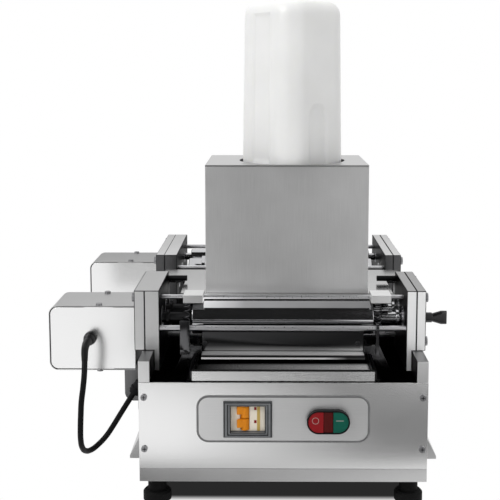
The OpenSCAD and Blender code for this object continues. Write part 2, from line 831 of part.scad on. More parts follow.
// Rollers: barrel, collars and journals on one axis
module barrel(l, d, y, z) {
    bevel = 1;
    xrod(-l / 2 + bevel, l / 2 - bevel, d, y, z);
    translate([-l / 2, y, z]) rotate([0, 90, 0]) cylinder(h = bevel, d1 = d - 2 * bevel, d2 = d);
    translate([l / 2 - bevel, y, z]) rotate([0, 90, 0]) cylinder(h = bevel, d1 = d, d2 = d - 2 * bevel);
}
module collars(y, z) {
    for (s = [-1, 1]) xrod(s * (inner_x - collar_in) - collar_w / 2, s * (inner_x - collar_in)
        + collar_w / 2, collar_d, y, z);
}
drive_end = left_x + 24;
counter_end = inner_x + bearing_w;
module front_drive_roller() {
    color("lightgray") {
        barrel(roller_l, roller_d, front_axis, axis_z);
        collars(front_axis, axis_z);
        xrod(-drive_end, counter_end + 1, journal_d, front_axis, axis_z);
        xrod(counter_end, right_x + 12, knob_shaft, front_axis, axis_z);
    }
}
module counter_roller(l, y) {
    barrel(l, roller_d, y, axis_z);
    collars(y, axis_z);
    xrod(-left_mid + gear_gap, counter_end, journal_d, y, axis_z);
}
module front_counter_roller() { color("lightgray") counter_roller(roller_l, front_counter); }
disc_x = roller_l / 2 + 2;
module rear_drive_roller() {
    color("lightgray") {
        barrel(rear_roller_l, roller_d, rear_axis, axis_z);
        xrod(-drive_end, counter_end, journal_d, rear_axis, axis_z);
        for (s = [0, 1]) mirror([s, 0, 0]) xrod(disc_x, disc_x + disc_w, disc_d, rear_axis, axis_z);
    }
}
module rear_counter_roller() { color("lightgray") counter_roller(roller_l, rear_counter); }
module rear_idler_roller() {
    color("lightgray") {
        barrel(rear_roller_l, idler_d, idler_y, idler_z);
        xrod(-counter_end + 1, counter_end - 1, idler_journal, idler_y, idler_z);
    }
}

// Involute spur gear, drawn flat, with a tooth on its first axis when phase is 0
pressure = 20;
function involute(r, a) = [r * (cos(a) + a * PI / 180 * sin(a)), r * (sin(a) - a * PI / 180 * cos(a))];
function spun(p, a) = [p[0] * cos(a) - p[1] * sin(a), p[0] * sin(a) + p[1] * cos(a)];
module spur(m, n, phase) {
    base_r = m * n / 2 * cos(pressure);
    tip_r = m * n / 2 + m;
    root_r = m * n / 2 - 1.25 * m;
    steps = 4;
    backlash = 0.6;
    roll = sqrt(pow(tip_r / base_r, 2) - 1) * 180 / PI;
    half = 90 / n - backlash + (tan(pressure) * 180 / PI - pressure);
    flank = [for (i = [0 : steps]) spun(involute(base_r, roll * i / steps), -half)];
    tooth = concat([spun([root_r, 0], -half)], flank,
        [for (i = [steps : -1 : 0]) [flank[i][0], -flank[i][1]]],
                   [spun([root_r, 0], half)]);
    polygon([for (k = [0 : n - 1], p = tooth) spun(p, k * 360 / n + phase)]);
}
module roller_gear(y, phase) {
    color("goldenrod") translate([0, y, axis_z]) difference() {
        along_x(-left_mid + gear_gap, -left_mid + gear_gap + gear_w) spur(gear_m, gear_teeth, phase);
        xrod(-left_mid, -inner_x, journal_d + 0.02, 0, 0);
    }
}
half_tooth = 180 / gear_teeth;
module front_drive_gear() { roller_gear(front_axis, 0); }
module front_counter_gear() { roller_gear(front_counter, half_tooth); }
module rear_drive_gear() { roller_gear(rear_axis, 0); }
module rear_counter_gear() { roller_gear(rear_counter, half_tooth); }

module ring(x0, x1, od, id, y, z) {
    groove = 1;
    difference() {
        xrod(x0, x1, od, y, z);
        xrod(x0 - 1, x1 + 1, id, y, z);
        for (x = [x0 - 1, x1 - groove]) difference() {
            xrod(x, x + groove + 1, (od + id) / 2 + 3, y, z);
            xrod(x - 1, x + groove + 2, (od + id) / 2 - 3, y, z);
        }
    }
}
module roller_bearings() {
    color("silver") sides() {
        for (y = concat(front_axes, rear_axes))
            ring(inner_x, inner_x + bearing_w, bearing_d, journal_d + 2 * run, y, axis_z);
        ring(inner_x, inner_x + bearing_w, idler_seat, idler_journal + 2 * run, idler_y, idler_z);
    }
}
module tie_rods() {
    color("lightgray") for (r = concat(front_rods, rear_rods))
        xrod(-inner_x - rod_seat, inner_x + rod_seat, r[2], r[0], r[1]);
}
module hand_knob() {
    neck = 14;
    thick = 9;
    tip = 4;
    x0 = right_x + slide;
    x1 = right_x + knob_l;
    color("black") translate([0, front_axis, axis_z]) difference() {
        union() {
            xrod(x0, x0 + neck, neck, 0, 0);
            hull() {
                xrod(x0 + neck - 4, x0 + neck, thick, 0, 0);
                for (s = [-1, 1]) xrod(x1 - 2, x1, tip, 0, s * (knob_h - tip) / 2);
                for (s = [-1, 1]) xrod(x1 - 8, x1 - 6, thick, 0, s * (knob_h - thick) / 2);
            }
        }
        xrod(0, right_x + 12 + slide, knob_shaft + 0.02, 0, 0);
    }
}

// Deck
module deck_plate() {
    color("silver") difference() {
        union() {
            box([hopper_x - deck_half, hopper_x + deck_half], [deck_y, deck_back], [deck_z - deck_t, deck_z]);
            box([-deck_wide, deck_wide], [deck_wide_y, deck_back], [deck_z - deck_t, deck_z]);
        }
        box([hopper_x - slot_w / 2, hopper_x + slot_w / 2], [nip_y - slot_d / 2, nip_y + slot_d / 2],
            [deck_z - 10, deck_z + 1]);
    }
}
module deck_block(x0) {
    difference() {
        box([x0, x0 + block_w], [block_y, deck_y], [block_z, block_top]);
        xrod(x0 - 1, x0 + block_w + 1, deck_rod_d + 2 * seat, deck_rod_y, deck_rod_z);
    }
}
module deck_blocks() {
    color("gainsboro") {
        deck_block(-spring_x - block_lap[0]);
        deck_block(spring_x + block_lap[1] - block_w);
    }
}
module deck_brackets() {
    front = deck_wide_y + bracket_margin;
    back = min(deck_back - bracket_margin, rear_y - bracket_clear);
    color("silver") sides() box([rail_x, deck_wide], [front, back], [rail_z, deck_z - deck_t]);
}
module deck_lock_pins() {
    color("black") sides() {
        xrod(inner_x - pin_l, inner_x, pin_d, pin_y, deck_z + pin_d / 2 + pin_rise);
        xrod(inner_x - pin_l, inner_x - pin_l + 8, pin_d + 0, pin_y, deck_z + pin_d / 2 + pin_rise);
    }
}

// Swept tube: rings of n points round a path, capped at both ends
function unit(v) = v / norm(v);
function heading(p, i) = unit(p[min(i + 1, len(p) - 1)] - p[max(i - 1, 0)]);
function ring_points(p, i, r, n, up) =
    let (t = heading(p, i), u = unit(cross(t, up)), v = cross(u, t))
    [for (k = [0 : n - 1]) p[i] + r * (cos(360 * k / n) * u + sin(360 * k / n) * v)];
module tube(path, r, n, up) {
    last = len(path) - 1;
    points = [for (i = [0 : last], q = ring_points(path, i, r, n, up)) q];
    walls = [for (i = [0 : last - 1], k = [0 : n - 1])
        let (a = i * n + k, b = i * n + (k + 1) % n)
        each [[a, b, b + n], [a, b + n, a + n]]];
    start = [for (k = [1 : n - 2]) [0, k + 1, k]];
    end = [for (k = [1 : n - 2]) [last * n, last * n + k, last * n + k + 1]];
    polyhedron(points = points, faces = concat(walls, start, end));
}
function coil(r, h, turns, steps) = [for (i = [0 : turns * steps])
    [r * cos(360 * i / steps), r * sin(360 * i / steps), h * i / (turns * steps)]];
spring_steps = 8;
spring_sides = 6;
spring_base = tab_z + seat;
spring_h = block_z - spring_base - wire_d - seat;
spring_r = (spring_d - wire_d) / 2;
echo(spring_gap = spring_h / spring_turns - wire_d);
module block_springs() {
    color("silver") sides() translate([spring_x, spring_y, spring_base + wire_d / 2])
        tube(coil(spring_r, spring_h, spring_turns, spring_steps), wire_d / 2, spring_sides, [0, 0, 1]);
}

// Scraper
module arm(t, strap) {
    back = scraper_t;
    difference() {
        union() {
            along_x(arm_x, arm_x + t) {
                translate([scraper_y, scraper_z]) circle(d = arm_d);
                polygon([[scraper_y + arm_d / 2 - 1, scraper_z], scraper_foot + [back, 0],
                         scraper_foot + [-arm_d + back, 0], [scraper_y - arm_d / 2 + 1, scraper_z]]);
            }
            box([scraper_half, arm_x + t], [scraper_foot[0] - 8, scraper_foot[0] + back],
                [scraper_foot[1], scraper_foot[1] + web_h]);
            along_y(scraper_foot[0] - 4, scraper_foot[0] + back) polygon([
                [scraper_half + prop_in, scraper_foot[1] + web_h],
                [scraper_half + prop_in + prop_w, scraper_foot[1] + web_h],
                [scraper_half + prop_in + prop_w + prop_lean, top_z],
                [scraper_half + prop_in + prop_lean, top_z]
            ]);
            box([arm_x, arm_x + arm_w], [scraper_y, spring_y + spring_d / 2 + 1], [tab_z - tab_t, tab_z]);
            if (strap) along_x(arm_x, arm_x + t) {
                translate([scraper_y - arm_d / 2 - strap_t + 1, rail_z + 2])
                    square([strap_t, axis_z - rail_z + 2]);
                translate([scraper_y - arm_d / 2 - strap_t / 2 + 1, axis_z + 4]) circle(d = strap_t);
            }
        }
        xrod(arm_x - 1, arm_x + arm_w + 1, rod_d + 2 * seat, scraper_y, scraper_z);
    }
}
module scraper_arms() {
    color("dimgray") {
        mirror([1, 0, 0]) arm(arm_t[0], true);
        arm(arm_t[1], false);
    }
}
module scraper_plate() {
    slope = unit(scraper_top - scraper_foot);
    across = [-slope[1], slope[0]] * scraper_t;
    heel = scraper_foot + across + slope * (scraper_t - across[1]) / slope[1];
    front = scraper_foot + [-scraper_toe, scraper_t];
    color("gray") along_x(-scraper_half, scraper_half) polygon([
        scraper_top, scraper_foot, front + [scraper_t, -scraper_t], front + [scraper_t, -scraper_lip],
        front + [0, -scraper_lip], front, heel, scraper_top + across
    ]);
}

// Crumb tray
module tray_guides() {
    x = tray_w / 2 + slide;
    lip = 2;
    color("silver") sides() difference() {
        box([x, x + guide_w], [tray_y + 4, tray_y + tray_d + 4], [top_z, top_z + tray_h - 1]);
        box([x + lip, x + guide_w + 1], [tray_y, tray_y + tray_d + 8], [top_z + lip, top_z + tray_h]);
    }
}
module crumb_tray() {
    z = top_z + slide;
    x = tray_w / 2;
    color("gainsboro") {
        difference() {
            box([-x, x], [tray_y, tray_y + tray_lip], [z, z + tray_h]);
            box([-x + tray_t, x - tray_t], [tray_y + tray_t, tray_y + tray_lip + 1],
                [z + tray_t, z + tray_h - tray_t]);
        }
        difference() {
            box([-x, x], [tray_y + tray_lip - tray_t, tray_y + tray_d], [z, z + tray_side_h]);
            box([-x + tray_t, x - tray_t], [tray_y + tray_lip, tray_y + tray_d - tray_t],
                [z + tray_t, z + tray_h]);
        }
    }
}

// Motors
module gearmotor(y) {
    cy = y + cover_back;
    cz = axis_z - cover_drop;
    fin = 5;
    color("dimgray") difference() {
        union() {
            along_x(-left_x - gearhead_l, -left_x) translate([cy, cz]) rounded(gearhead_w, gearhead_w, 6);
            xrod(-left_x - gearhead_l - motor_l, -left_x - gearhead_l + 1, motor_d, cy, cz);
            for (i = [1 : 5])
                xrod(-left_x - gearhead_l - i * 2 * fin - 3, -left_x - gearhead_l - i * 2 * fin,
                    motor_d + 4, cy, cz);
        }
        xrod(-drive_end - 1, 0, journal_d + 2 * run, y, axis_z);
    }
}
module front_gearmotor() { gearmotor(front_axis); }
module rear_gearmotor() { gearmotor(rear_axis); }
// Cover outline in (x, z): square at the stand, rounded at the far end, grown by g
module cover_outline(g) {
    r = cover_r + g;
    translate([-cover_x + cover_r, cover_z - g]) square([cover_w - cover_r, cover_h + 2 * g]);
    translate([-cover_x - g, cover_z + cover_r]) square([cover_w + g, cover_h - 2 * cover_r]);
    for (z = [cover_z + cover_r, cover_z + cover_h - cover_r]) translate([-cover_x + cover_r, z]) circle(r);
}
module motor_cover(y) {
    color("gainsboro") difference() {
        along_y(y, y + cover_d) cover_outline(0);
        along_y(y - 1, y + cover_d + 1) {
            cover_outline(-cover_t);
            translate([-left_x - 5, cover_z + cover_t]) square([10, cover_h - 2 * cover_t]);
        }
        cover_screw_points(y) translate([0, 0, -5]) cylinder(h = 10, d = screw_d + hole);
    }
}
module front_motor_cover() { motor_cover(front_cover_y); }
module rear_motor_cover() { motor_cover(rear_cover_y); }
module end_plate(y, s) {
    g = cover_t + slide;
    y0 = s > 0 ? y + cover_seam : y + cover_d - cover_t - cover_seam;
    lip_y = s > 0 ? y0 : y0 + cover_t - lip_w;
    lip_l = 40;
    difference() {
        union() {
            along_y(y0, y0 + cover_t) cover_outline(-cover_t - cover_seam);
            for (z = [cover_z + g, cover_z + cover_h - g - cover_t])
                box([-cover_screw_x - lip_l / 2, -cover_screw_x + lip_l / 2], [lip_y, lip_y + lip_w],
                    [z, z + cover_t]);
        }
        cover_screw_points(y) translate([0, 0, -8]) cylinder(h = 10, d = screw_d + hole);
    }
}
module cover_end_plates() {
    color("whitesmoke") difference() {
        for (y = [front_cover_y, rear_cover_y], s = [-1, 1]) end_plate(y, s);
        yrod(front_cover_y - 1, front_cover_y + 5, 12 + hole, -gland_x, gland_z);
        yrod(rear_cover_y + cover_d - 5, rear_cover_y + cover_d + 1, 12 + hole, -gland_x, gland_z);
    }
}
module bracket(y) {
    r = 12;
    x = -base_w / 2;
    color("gray") {
        along_y(y, y + bracket_t) translate([x - bracket_w, cover_z - bracket_h]) {
            translate([r, 0]) square([bracket_w - r, bracket_h]);
            translate([0, r]) square([bracket_w, bracket_h - r]);
            translate([r, r]) circle(r);
        }
        box([x - bracket_t, x], [y, y + bracket_d], [cover_z - bracket_h, cover_z]);
        box([x - bracket_w, x], [y, y + bracket_d], [cover_z - bracket_t, cover_z]);
    }
}
module motor_brackets() { for (y = [front_cover_y, rear_cover_y]) bracket(y + bracket_y); }
module motor_gland() {
    color("black") translate([-gland_x, front_cover_y + cover_seam, gland_z]) rotate([90, 0, 0])
        gland(gland_l, 13, 0);
}
module motor_cable() { color("black") tube(cable_route, cable_d / 2, cable_sides, [1, 0, 0.01]); }

// Hopper and jug
module hopper_body() {
    x0 = hopper_x - hopper_w / 2;
    x1 = hopper_x + hopper_w / 2;
    y1 = hopper_y + hopper_d;
    out = [nip_y - mouth_d / 2, nip_y + mouth_d / 2];
    bridge = cradle_hole + 28;
    t = hopper_t;
    color("silver") {
        difference() {
            box([x0, x1], [hopper_y, y1], [deck_z, hopper_z]);
            box([x0 + t, x1 - t], [hopper_y + t, y1 - t], [deck_z - 1, hopper_z + 1]);
        }
        along_x(x0 + t / 2, x1 - t / 2) {
            polygon([[hopper_y + t / 2, funnel_z], [out[0] - t, deck_z], [out[0], deck_z],
                [hopper_y + t / 2, funnel_z + 3 * t]]);
            polygon([[y1 - t / 2, funnel_z], [out[1] + t, deck_z], [out[1], deck_z],
                [y1 - t / 2, funnel_z + 2 * t]]);
        }
        difference() {
            box([jug_cx - bridge / 2, jug_cx + bridge / 2], [hopper_y + t / 2, y1 - t / 2],
                [cradle_z - 2 * t, cradle_z]);
            zrod(cradle_z - 10, cradle_z + 1, cradle_hole, jug_cx, jug_y);
        }
    }
}
module hopper_lid() {
    skirt = 8;
    t = hopper_t;
    g = t + slide;
    color("gainsboro") difference() {
        union() {
            box([hopper_x - hopper_w / 2, hopper_x + hopper_w / 2], [hopper_y, hopper_y + hopper_d],
                [hopper_z, lid_z]);
            box([hopper_x - hopper_w / 2 + g, hopper_x + hopper_w / 2 - g],
                [hopper_y + g, hopper_y + hopper_d - g],
                [hopper_z - skirt, hopper_z + eps]);
        }
        box([hopper_x - hopper_w / 2 + g + t, hopper_x + hopper_w / 2 - g - t],
            [hopper_y + g + t, hopper_y + hopper_d - g - t],
            [hopper_z - skirt - 1, hopper_z]);
        zrod(hopper_z - 20, lid_z + 1, jug_hole, jug_cx, jug_y);
    }
}
// Jug slices, each [height, side, corner radius], from the shoulder to the rounded base on top
jug_base = cradle_z + seat;
jug_slices = [
    [jug_base, shoulder, jug_r * 0.7], [jug_base + 26, jug_side, jug_r], [jug_top - 20, jug_side - 5, jug_r],
    [jug_top - 9, jug_side - 8, jug_r], [jug_top - 3, jug_side - 16, jug_r],
        [jug_top - 0.1, jug_side - 30, jug_r * 0.9]
];
module jug_form(w) {
    hull() for (i = [0 : len(jug_slices) - 1])
        let (s = jug_slices[i], up = i == 0 ? w : i >= len(jug_slices) - 2 ? -w : 0)
        translate([0, 0, s[0] + up]) linear_extrude(0.1)
            rounded(s[1] - 2 * w, s[1] - 2 * w, s[2] - w, $fn = 32);
}
module jug() {
    color("white") translate([jug_cx, jug_y, 0]) rotate(jug_turn) difference() {
        union() {
            jug_form(0);
            zrod(jug_base - neck_l, jug_base + 1, neck_d, 0, 0);
        }
        jug_form(jug_wall);
        zrod(jug_base - neck_l - 1, jug_base + 2 * jug_wall + 1, neck_d - 2 * neck_wall, 0, 0);
    }
}
module jug_cap() {
    z = jug_base - neck_l - 3;
    color("whitesmoke") translate([jug_cx, jug_y, 0]) difference() {
        zrod(z, z + cap_h, cap_d, 0, 0);
        zrod(z + 2.9, z + cap_h + 1, neck_d + 0.4, 0, 0);
        zrod(z - 1, z + 5, valve_d, 0, 0);
    }
}

placed() rubber_feet();
placed() foot_bolts();
placed() base_pan();
placed() base_shell();
placed() base_top();
placed() front_panel();
placed() control_plate();
placed() screws();
placed() vent_hoods();
placed() side_rails();
placed() breaker_bezel();
placed() breaker_body();
placed() breaker_toggle();
placed() din_rail();
placed() button_housing();
placed() stop_button();
placed() start_button();
placed() pilot_lens();
placed() contact_block();
placed() base_gland();
placed() rear_glands();
placed() front_left_inner_plate();
placed() front_left_outer_plate();
placed() front_right_inner_plate();
placed() front_right_outer_plate();
placed() front_drive_roller();
placed() front_counter_roller();
placed() front_drive_gear();
placed() front_counter_gear();
placed() hand_knob();
placed() tie_rods();
placed() roller_bearings();
placed() deck_plate();
placed() deck_blocks();
placed() block_springs();
placed() deck_brackets();
placed() deck_lock_pins();
placed() scraper_arms();
placed() scraper_plate();
placed() tray_guides();
placed() crumb_tray();
placed() rear_left_plates();
placed() rear_right_plates();
placed() rear_drive_roller();
placed() rear_counter_roller();
placed() rear_drive_gear();
placed() rear_counter_gear();
placed() rear_idler_roller();
placed() front_gearmotor();
placed() rear_gearmotor();
placed() front_motor_cover();
placed() rear_motor_cover();
placed() cover_end_plates();
placed() motor_brackets();
placed() motor_gland();
placed() motor_cable();
placed() hopper_body();
placed() hopper_lid();
placed() jug();
placed() jug_cap();
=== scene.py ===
# %% [markdown]
# # A bench-top roller sheet machine
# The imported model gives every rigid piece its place, in metres, with the floor at z = 0 and the
# controls facing -Y. This file dresses it: soft edges, a real cable, springs, a moulded jug,
# and finishes for sheet steel, chrome, rubber and plastics.

# %% Load the machine
import json
import math

import bmesh
import bpy
from mathutils import Matrix, Vector


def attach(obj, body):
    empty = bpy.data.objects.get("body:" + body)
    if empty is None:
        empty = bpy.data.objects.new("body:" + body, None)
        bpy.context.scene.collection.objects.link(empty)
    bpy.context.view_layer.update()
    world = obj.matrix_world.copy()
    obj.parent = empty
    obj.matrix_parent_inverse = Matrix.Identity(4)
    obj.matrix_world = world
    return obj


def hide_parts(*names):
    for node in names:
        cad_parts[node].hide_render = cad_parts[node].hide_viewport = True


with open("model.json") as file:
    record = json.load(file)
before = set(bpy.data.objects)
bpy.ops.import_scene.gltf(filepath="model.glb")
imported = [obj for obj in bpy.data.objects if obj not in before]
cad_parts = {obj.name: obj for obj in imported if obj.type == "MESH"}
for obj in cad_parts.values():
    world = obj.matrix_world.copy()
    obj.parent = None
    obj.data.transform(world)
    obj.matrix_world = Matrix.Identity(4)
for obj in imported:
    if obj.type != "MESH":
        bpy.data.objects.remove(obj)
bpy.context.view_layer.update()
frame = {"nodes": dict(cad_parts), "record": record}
nodes = frame["nodes"]
MM = 0.001
BASE_X = 45.0
BASE_Y = -261.25


def spot(x, y, z):
    """A point given in mm from the base's centre, front face and floor, in the scene's metres."""
    return Vector(((x + BASE_X) * MM, (y + BASE_Y) * MM, z * MM))


# %% [markdown]
# ## The camera
# The photograph was taken from the front, a little above the machine, with a long lens. Its upright
# edges are nearly parallel, so most of the framing comes from lens shift and only a small tilt.

# %% Camera
PHOTO_PX = 500
FOCAL_PX = 985
SENSOR_MM = 36
LENS_SHIFT = (-0.025, -0.13)
CAMERA_MM = (-17.7, -1250, 577.4)
DOWN_DEG = 6.659
TURN_DEG = 0.433
lens = bpy.data.cameras.new("camera")
lens.sensor_width = SENSOR_MM
lens.lens = FOCAL_PX / PHOTO_PX * SENSOR_MM
lens.shift_x, lens.shift_y = LENS_SHIFT
lens.clip_end = 50
camera = bpy.data.objects.new("camera", lens)
camera.location = spot(*CAMERA_MM)
camera.rotation_euler = (math.radians(90 - DOWN_DEG), 0, math.radians(TURN_DEG))
bpy.context.scene.collection.objects.link(camera)
bpy.context.scene.camera = camera
bpy.context.scene.view_settings.view_transform = "Standard"
print("lens", round(lens.lens, 2), "mm")

# %% [markdown]
# ## Helpers for colours and finishes
# Colours are written as sRGB hex values, as they look on a screen, and turned to the linear values
# that shaders use. One function adds a node with its settings and links.

# %% Colour and node helpers
def linear(hex_colour):
    """An sRGB hex colour as a linear RGBA tuple."""
    parts = [int(hex_colour[i:i + 2], 16) / 255 for i in (1, 3, 5)]
    return tuple(c / 12.92 if c <= 0.04045 else ((c + 0.055) / 1.055) ** 2.4 for c in parts) + (1.0,)


def add(tree, kind, settings=None, **inputs):
    """One node: attributes from settings, and each input linked from a socket or set to a value."""
    node = tree.nodes.new(kind)
    for key, value in (settings or {}).items():
        setattr(node, key, value)
    for key, value in inputs.items():
        # i0, i1 and so on stand for an input's number, and other names for its label.
        socket = node.inputs[int(key[1:]) if key[0] == "i" and key[1:].isdigit() else key.replace("_", " ")]
        if isinstance(value, bpy.types.NodeSocket):
            tree.links.new(value, socket)
        else:
            socket.default_value = value
    return node


def new_finish(name, colour, roughness, metallic=0.0):
    """A material with one Principled shader; returns the material, its tree and the shader."""
    material = bpy.data.materials.new(name)
    material.use_nodes = True
    tree = material.node_tree
    shader = tree.nodes["Principled BSDF"]
    shader.inputs["Base Color"].default_value = linear(colour)
    shader.inputs["Roughness"].default_value = roughness
    shader.inputs["Metallic"].default_value = metallic
    return material, tree, shader


def spread(tree, source, low, high):
    """A 0 to 1 pattern moved to the span low to high."""
    return add(tree, "ShaderNodeMapRange", None, Value=source, To_Min=low, To_Max=high).outputs["Result"]


def two_tone(tree, source, dark, light):
    """A 0 to 1 pattern used to mix two colours."""
    node = add(tree, "ShaderNodeMix", {"data_type": "RGBA"})
    tree.links.new(source, node.inputs["Factor"])
    node.inputs["A"].default_value = linear(dark)
    node.inputs["B"].default_value = linear(light)
    return node.outputs["Result"]


print("mid grey in linear light", round(linear("#808080")[0], 3))

# %% [markdown]
# ## Brushed stainless steel
# The cabinet, hopper, deck and covers are stainless sheet, ground along one direction. The lines are
# a few hundredths of a millimetre wide, too fine for this picture, so they are drawn about half a
# millimetre apart. They change the roughness and lift the surface a little, and broad cloudy patches
# from handling change the tone.

# %% Brushed steel
LINE_MM = 0.6
LINE_LENGTH_MM = 40
CLOUD_MM = 60
LINE_SHARE = 0.45
LINE_LIFT = 0.08
LINE_DEPTH_MM = 0.05


def brushed_steel(name, dark, light, rough_low, rough_high, along):
    """Stainless sheet ground along the X, Y or Z axis."""
    material, tree, shader = new_finish(name, light, rough_low, 1.0)
    place = add(tree, "ShaderNodeTexCoord").outputs["Object"]
    scale = [1000 / LINE_MM] * 3
    scale["XYZ".index(along)] = 1000 / LINE_LENGTH_MM
    lines = add(tree, "ShaderNodeTexNoise", None, Scale=1.0, Detail=2.0,
                Vector=add(tree, "ShaderNodeMapping", None, Vector=place, Scale=scale).outputs["Vector"])
    clouds = add(tree, "ShaderNodeTexNoise", None, Vector=place, Scale=1000 / CLOUD_MM, Detail=3.0)
    blend = add(tree, "ShaderNodeMath", {"operation": "MULTIPLY_ADD"}, i0=lines.outputs["Fac"], i1=LINE_SHARE)
    patches = add(tree, "ShaderNodeMath", {"operation": "MULTIPLY"}, i0=clouds.outputs["Fac"],
                  i1=1 - LINE_SHARE)
    tree.links.new(patches.outputs[0], blend.inputs[2])
    tree.links.new(two_tone(tree, blend.outputs[0], dark, light), shader.inputs["Base Color"])
    tree.links.new(spread(tree, blend.outputs[0], rough_low, rough_high), shader.inputs["Roughness"])
    bump = add(tree, "ShaderNodeBump", None, Strength=LINE_LIFT, Distance=LINE_DEPTH_MM * MM,
               Height=lines.outputs["Fac"])
    tree.links.new(bump.outputs["Normal"], shader.inputs["Normal"])
    return material


# Bare sheet and plate: pale grey, with a soft and streaked mirror of the room.
panel_steel = brushed_steel("cabinet_steel_brushed_across", "#eaeaea", "#f8f8f8", 0.19, 0.29, "X")
pan_steel = brushed_steel("pan_steel_brushed_across", "#bcbcbc", "#d8d8d8", 0.19, 0.29, "X")
tray_steel = brushed_steel("tray_steel_brushed_across", "#e8e8e8", "#fafafa", 0.22, 0.32, "X")
control_steel = brushed_steel("control_plate_aluminium_satin", "#d6d6d6", "#e8e8e8", 0.38, 0.48, "X")
side_steel = brushed_steel("cabinet_steel_brushed_along", "#a2a2a2", "#c2c2c2", 0.24, 0.36, "Y")
rail_steel = brushed_steel("rail_steel_ground", "#d2d2d2", "#ececec", 0.24, 0.36, "Y")
# Painted shade: the rails' top faces are drawn darker than their fronts.
rail_top_steel = brushed_steel("rail_top_steel_painted_shade", "#868687", "#a0a0a1", 0.3, 0.42, "Y")
hood_steel = brushed_steel("vent_hood_steel_brushed", "#b0b0b0", "#cacaca", 0.26, 0.38, "Y")
bracket_steel = brushed_steel("motor_bracket_steel_rolled", "#6c6c6d", "#868687", 0.34, 0.46, "Z")
deck_steel = brushed_steel("deck_steel_polished", "#a6a6a6", "#c2c2c2", 0.16, 0.24, "X")
hopper_steel = brushed_steel("hopper_steel_brushed_up", "#bebebe", "#e8e8e8", 0.34, 0.44, "Z")
lid_steel = brushed_steel("lid_steel_brushed_across", "#a6a6a6", "#c0c0c0", 0.26, 0.36, "X")
plate_steel = brushed_steel("stand_plate_steel_ground", "#c4c4c4", "#dedede", 0.3, 0.4, "Y")
# Painted shade: the plates' top faces are drawn darker than their fronts, the left ones less so.
left_top_steel = brushed_steel("left_plate_top_painted_shade", "#a4a4a4", "#bababa", 0.32, 0.42, "Y")
plate_top_steel = brushed_steel("stand_plate_top_painted_shade", "#8e8e8e", "#a6a6a6", 0.32, 0.42, "Y")
lit_front_steel = brushed_steel("right_plate_front_painted_light", "#f0f0f0", "#fcfcfc", 0.3, 0.4, "X")
# Painted shade: the same steel drawn dark, with a blurred shine, for faces in shadow: the plates' inner
# sides, the rear plates' fronts, the rails' inner sides, the tray's sides, the base top and the journals.
inside_steel = brushed_steel("stand_plate_inside_painted_shade", "#303031", "#464647", 0.24, 0.36, "Z")
shaded_steel = brushed_steel("rear_plate_front_painted_shade", "#5e5e5f", "#7a7a7b", 0.28, 0.4, "Z")
base_top_steel = brushed_steel("base_top_painted_shade", "#2e2e2f", "#424243", 0.16, 0.26, "X")
journal_steel = brushed_steel("roller_journal_painted_shade", "#29292a", "#3c3c3d", 0.3, 0.42, "X")
cover_steel = brushed_steel("motor_cover_steel_satin", "#a4a4a4", "#bababa", 0.3, 0.4, "X")
end_plate_steel = brushed_steel("cover_end_aluminium_satin", "#ececec", "#f8f8f8", 0.16, 0.24, "X")
# Painted light: the right plates' front faces are drawn whiter than the plate steel, and half metallic so
# that the lamps light them.
LIT_FRONT_METALLIC = 0.5
lit_front_steel.node_tree.nodes["Principled BSDF"].inputs["Metallic"].default_value = LIT_FRONT_METALLIC
print("last brushed finish", end_plate_steel.name)

# %% [markdown]
# The tray's floor, the scraper and its lip are drawn with painted shade and painted reflection: nearly black
# at one end, and brighter along one axis and from side to side. The scraper's flange is drawn bright, with a
# dark line along its front edge: painted light and shade.

# %% Steel with painted shade and reflection
def painted_gradient_steel(name, dark, light, axis, dark_at, light_at, sides, share, rough, metallic):
    """Steel with painted shade and reflection, dark to light between two places in mm along Y or Z,
    and from the first to the second side.

    At the first side only a share of the light tone is left.
    """
    material, tree, shader = new_finish(name, light, rough[0], metallic)
    place = add(tree, "ShaderNodeTexCoord").outputs["Object"]
    axes = add(tree, "ShaderNodeSeparateXYZ", None, Vector=place)
    low, high = spot(sides[0], dark_at, dark_at), spot(sides[1], light_at, light_at)
    index = "XYZ".index(axis)
    along = add(tree, "ShaderNodeMapRange", {"interpolation_type": "SMOOTHSTEP"}, Value=axes.outputs[axis],
                From_Min=low[index], From_Max=high[index])
    across = add(tree, "ShaderNodeMapRange", None, Value=axes.outputs["X"], From_Min=low.x, From_Max=high.x,
                 To_Min=share, To_Max=1.0)
    brightness = add(tree, "ShaderNodeMath", {"operation": "MULTIPLY"}, i0=across.outputs["Result"],
               i1=along.outputs["Result"])
    smears = add(tree, "ShaderNodeTexNoise", None, Vector=place, Scale=1000 / CLOUD_MM, Detail=3.0)
    tree.links.new(two_tone(tree, brightness.outputs[0], dark, light), shader.inputs["Base Color"])
    tree.links.new(spread(tree, smears.outputs["Fac"], *rough), shader.inputs["Roughness"])
    return material


# Painted shade and reflection: the tray's floor is black at the back and on the left, the scraper plate dark
# at the top and on the left, the flange dark along its front edge and painted bright behind it, and the lip
# dark at its foot and its right end.
tray_floor_steel = painted_gradient_steel("tray_floor_painted_shade_and_reflection", "#101010", "#f4f4f4", "Y", dark_at=82, light_at=68,
                           sides=(-128, 112), share=0.0, rough=(0.16, 0.28), metallic=1.0)
scraper_steel = painted_gradient_steel("scraper_plate_painted_reflection", "#3c3c3d", "#b4b4b4", "Z", dark_at=206, light_at=197,
                        sides=(-110, 0), share=0.35, rough=(0.14, 0.22), metallic=1.0)
flange_steel = painted_gradient_steel("scraper_flange_painted_light_and_shade", "#0c0c0c", "#e0e0e0", "Y", dark_at=36, light_at=41,
                       sides=(-110, 90), share=0.5, rough=(0.3, 0.4), metallic=0.5)
lip_steel = painted_gradient_steel("scraper_lip_painted_reflection", "#202020", "#f6f6f6", "Z", dark_at=190, light_at=192,
                    sides=(86, 54), share=0.04, rough=(0.24, 0.34), metallic=0.5)
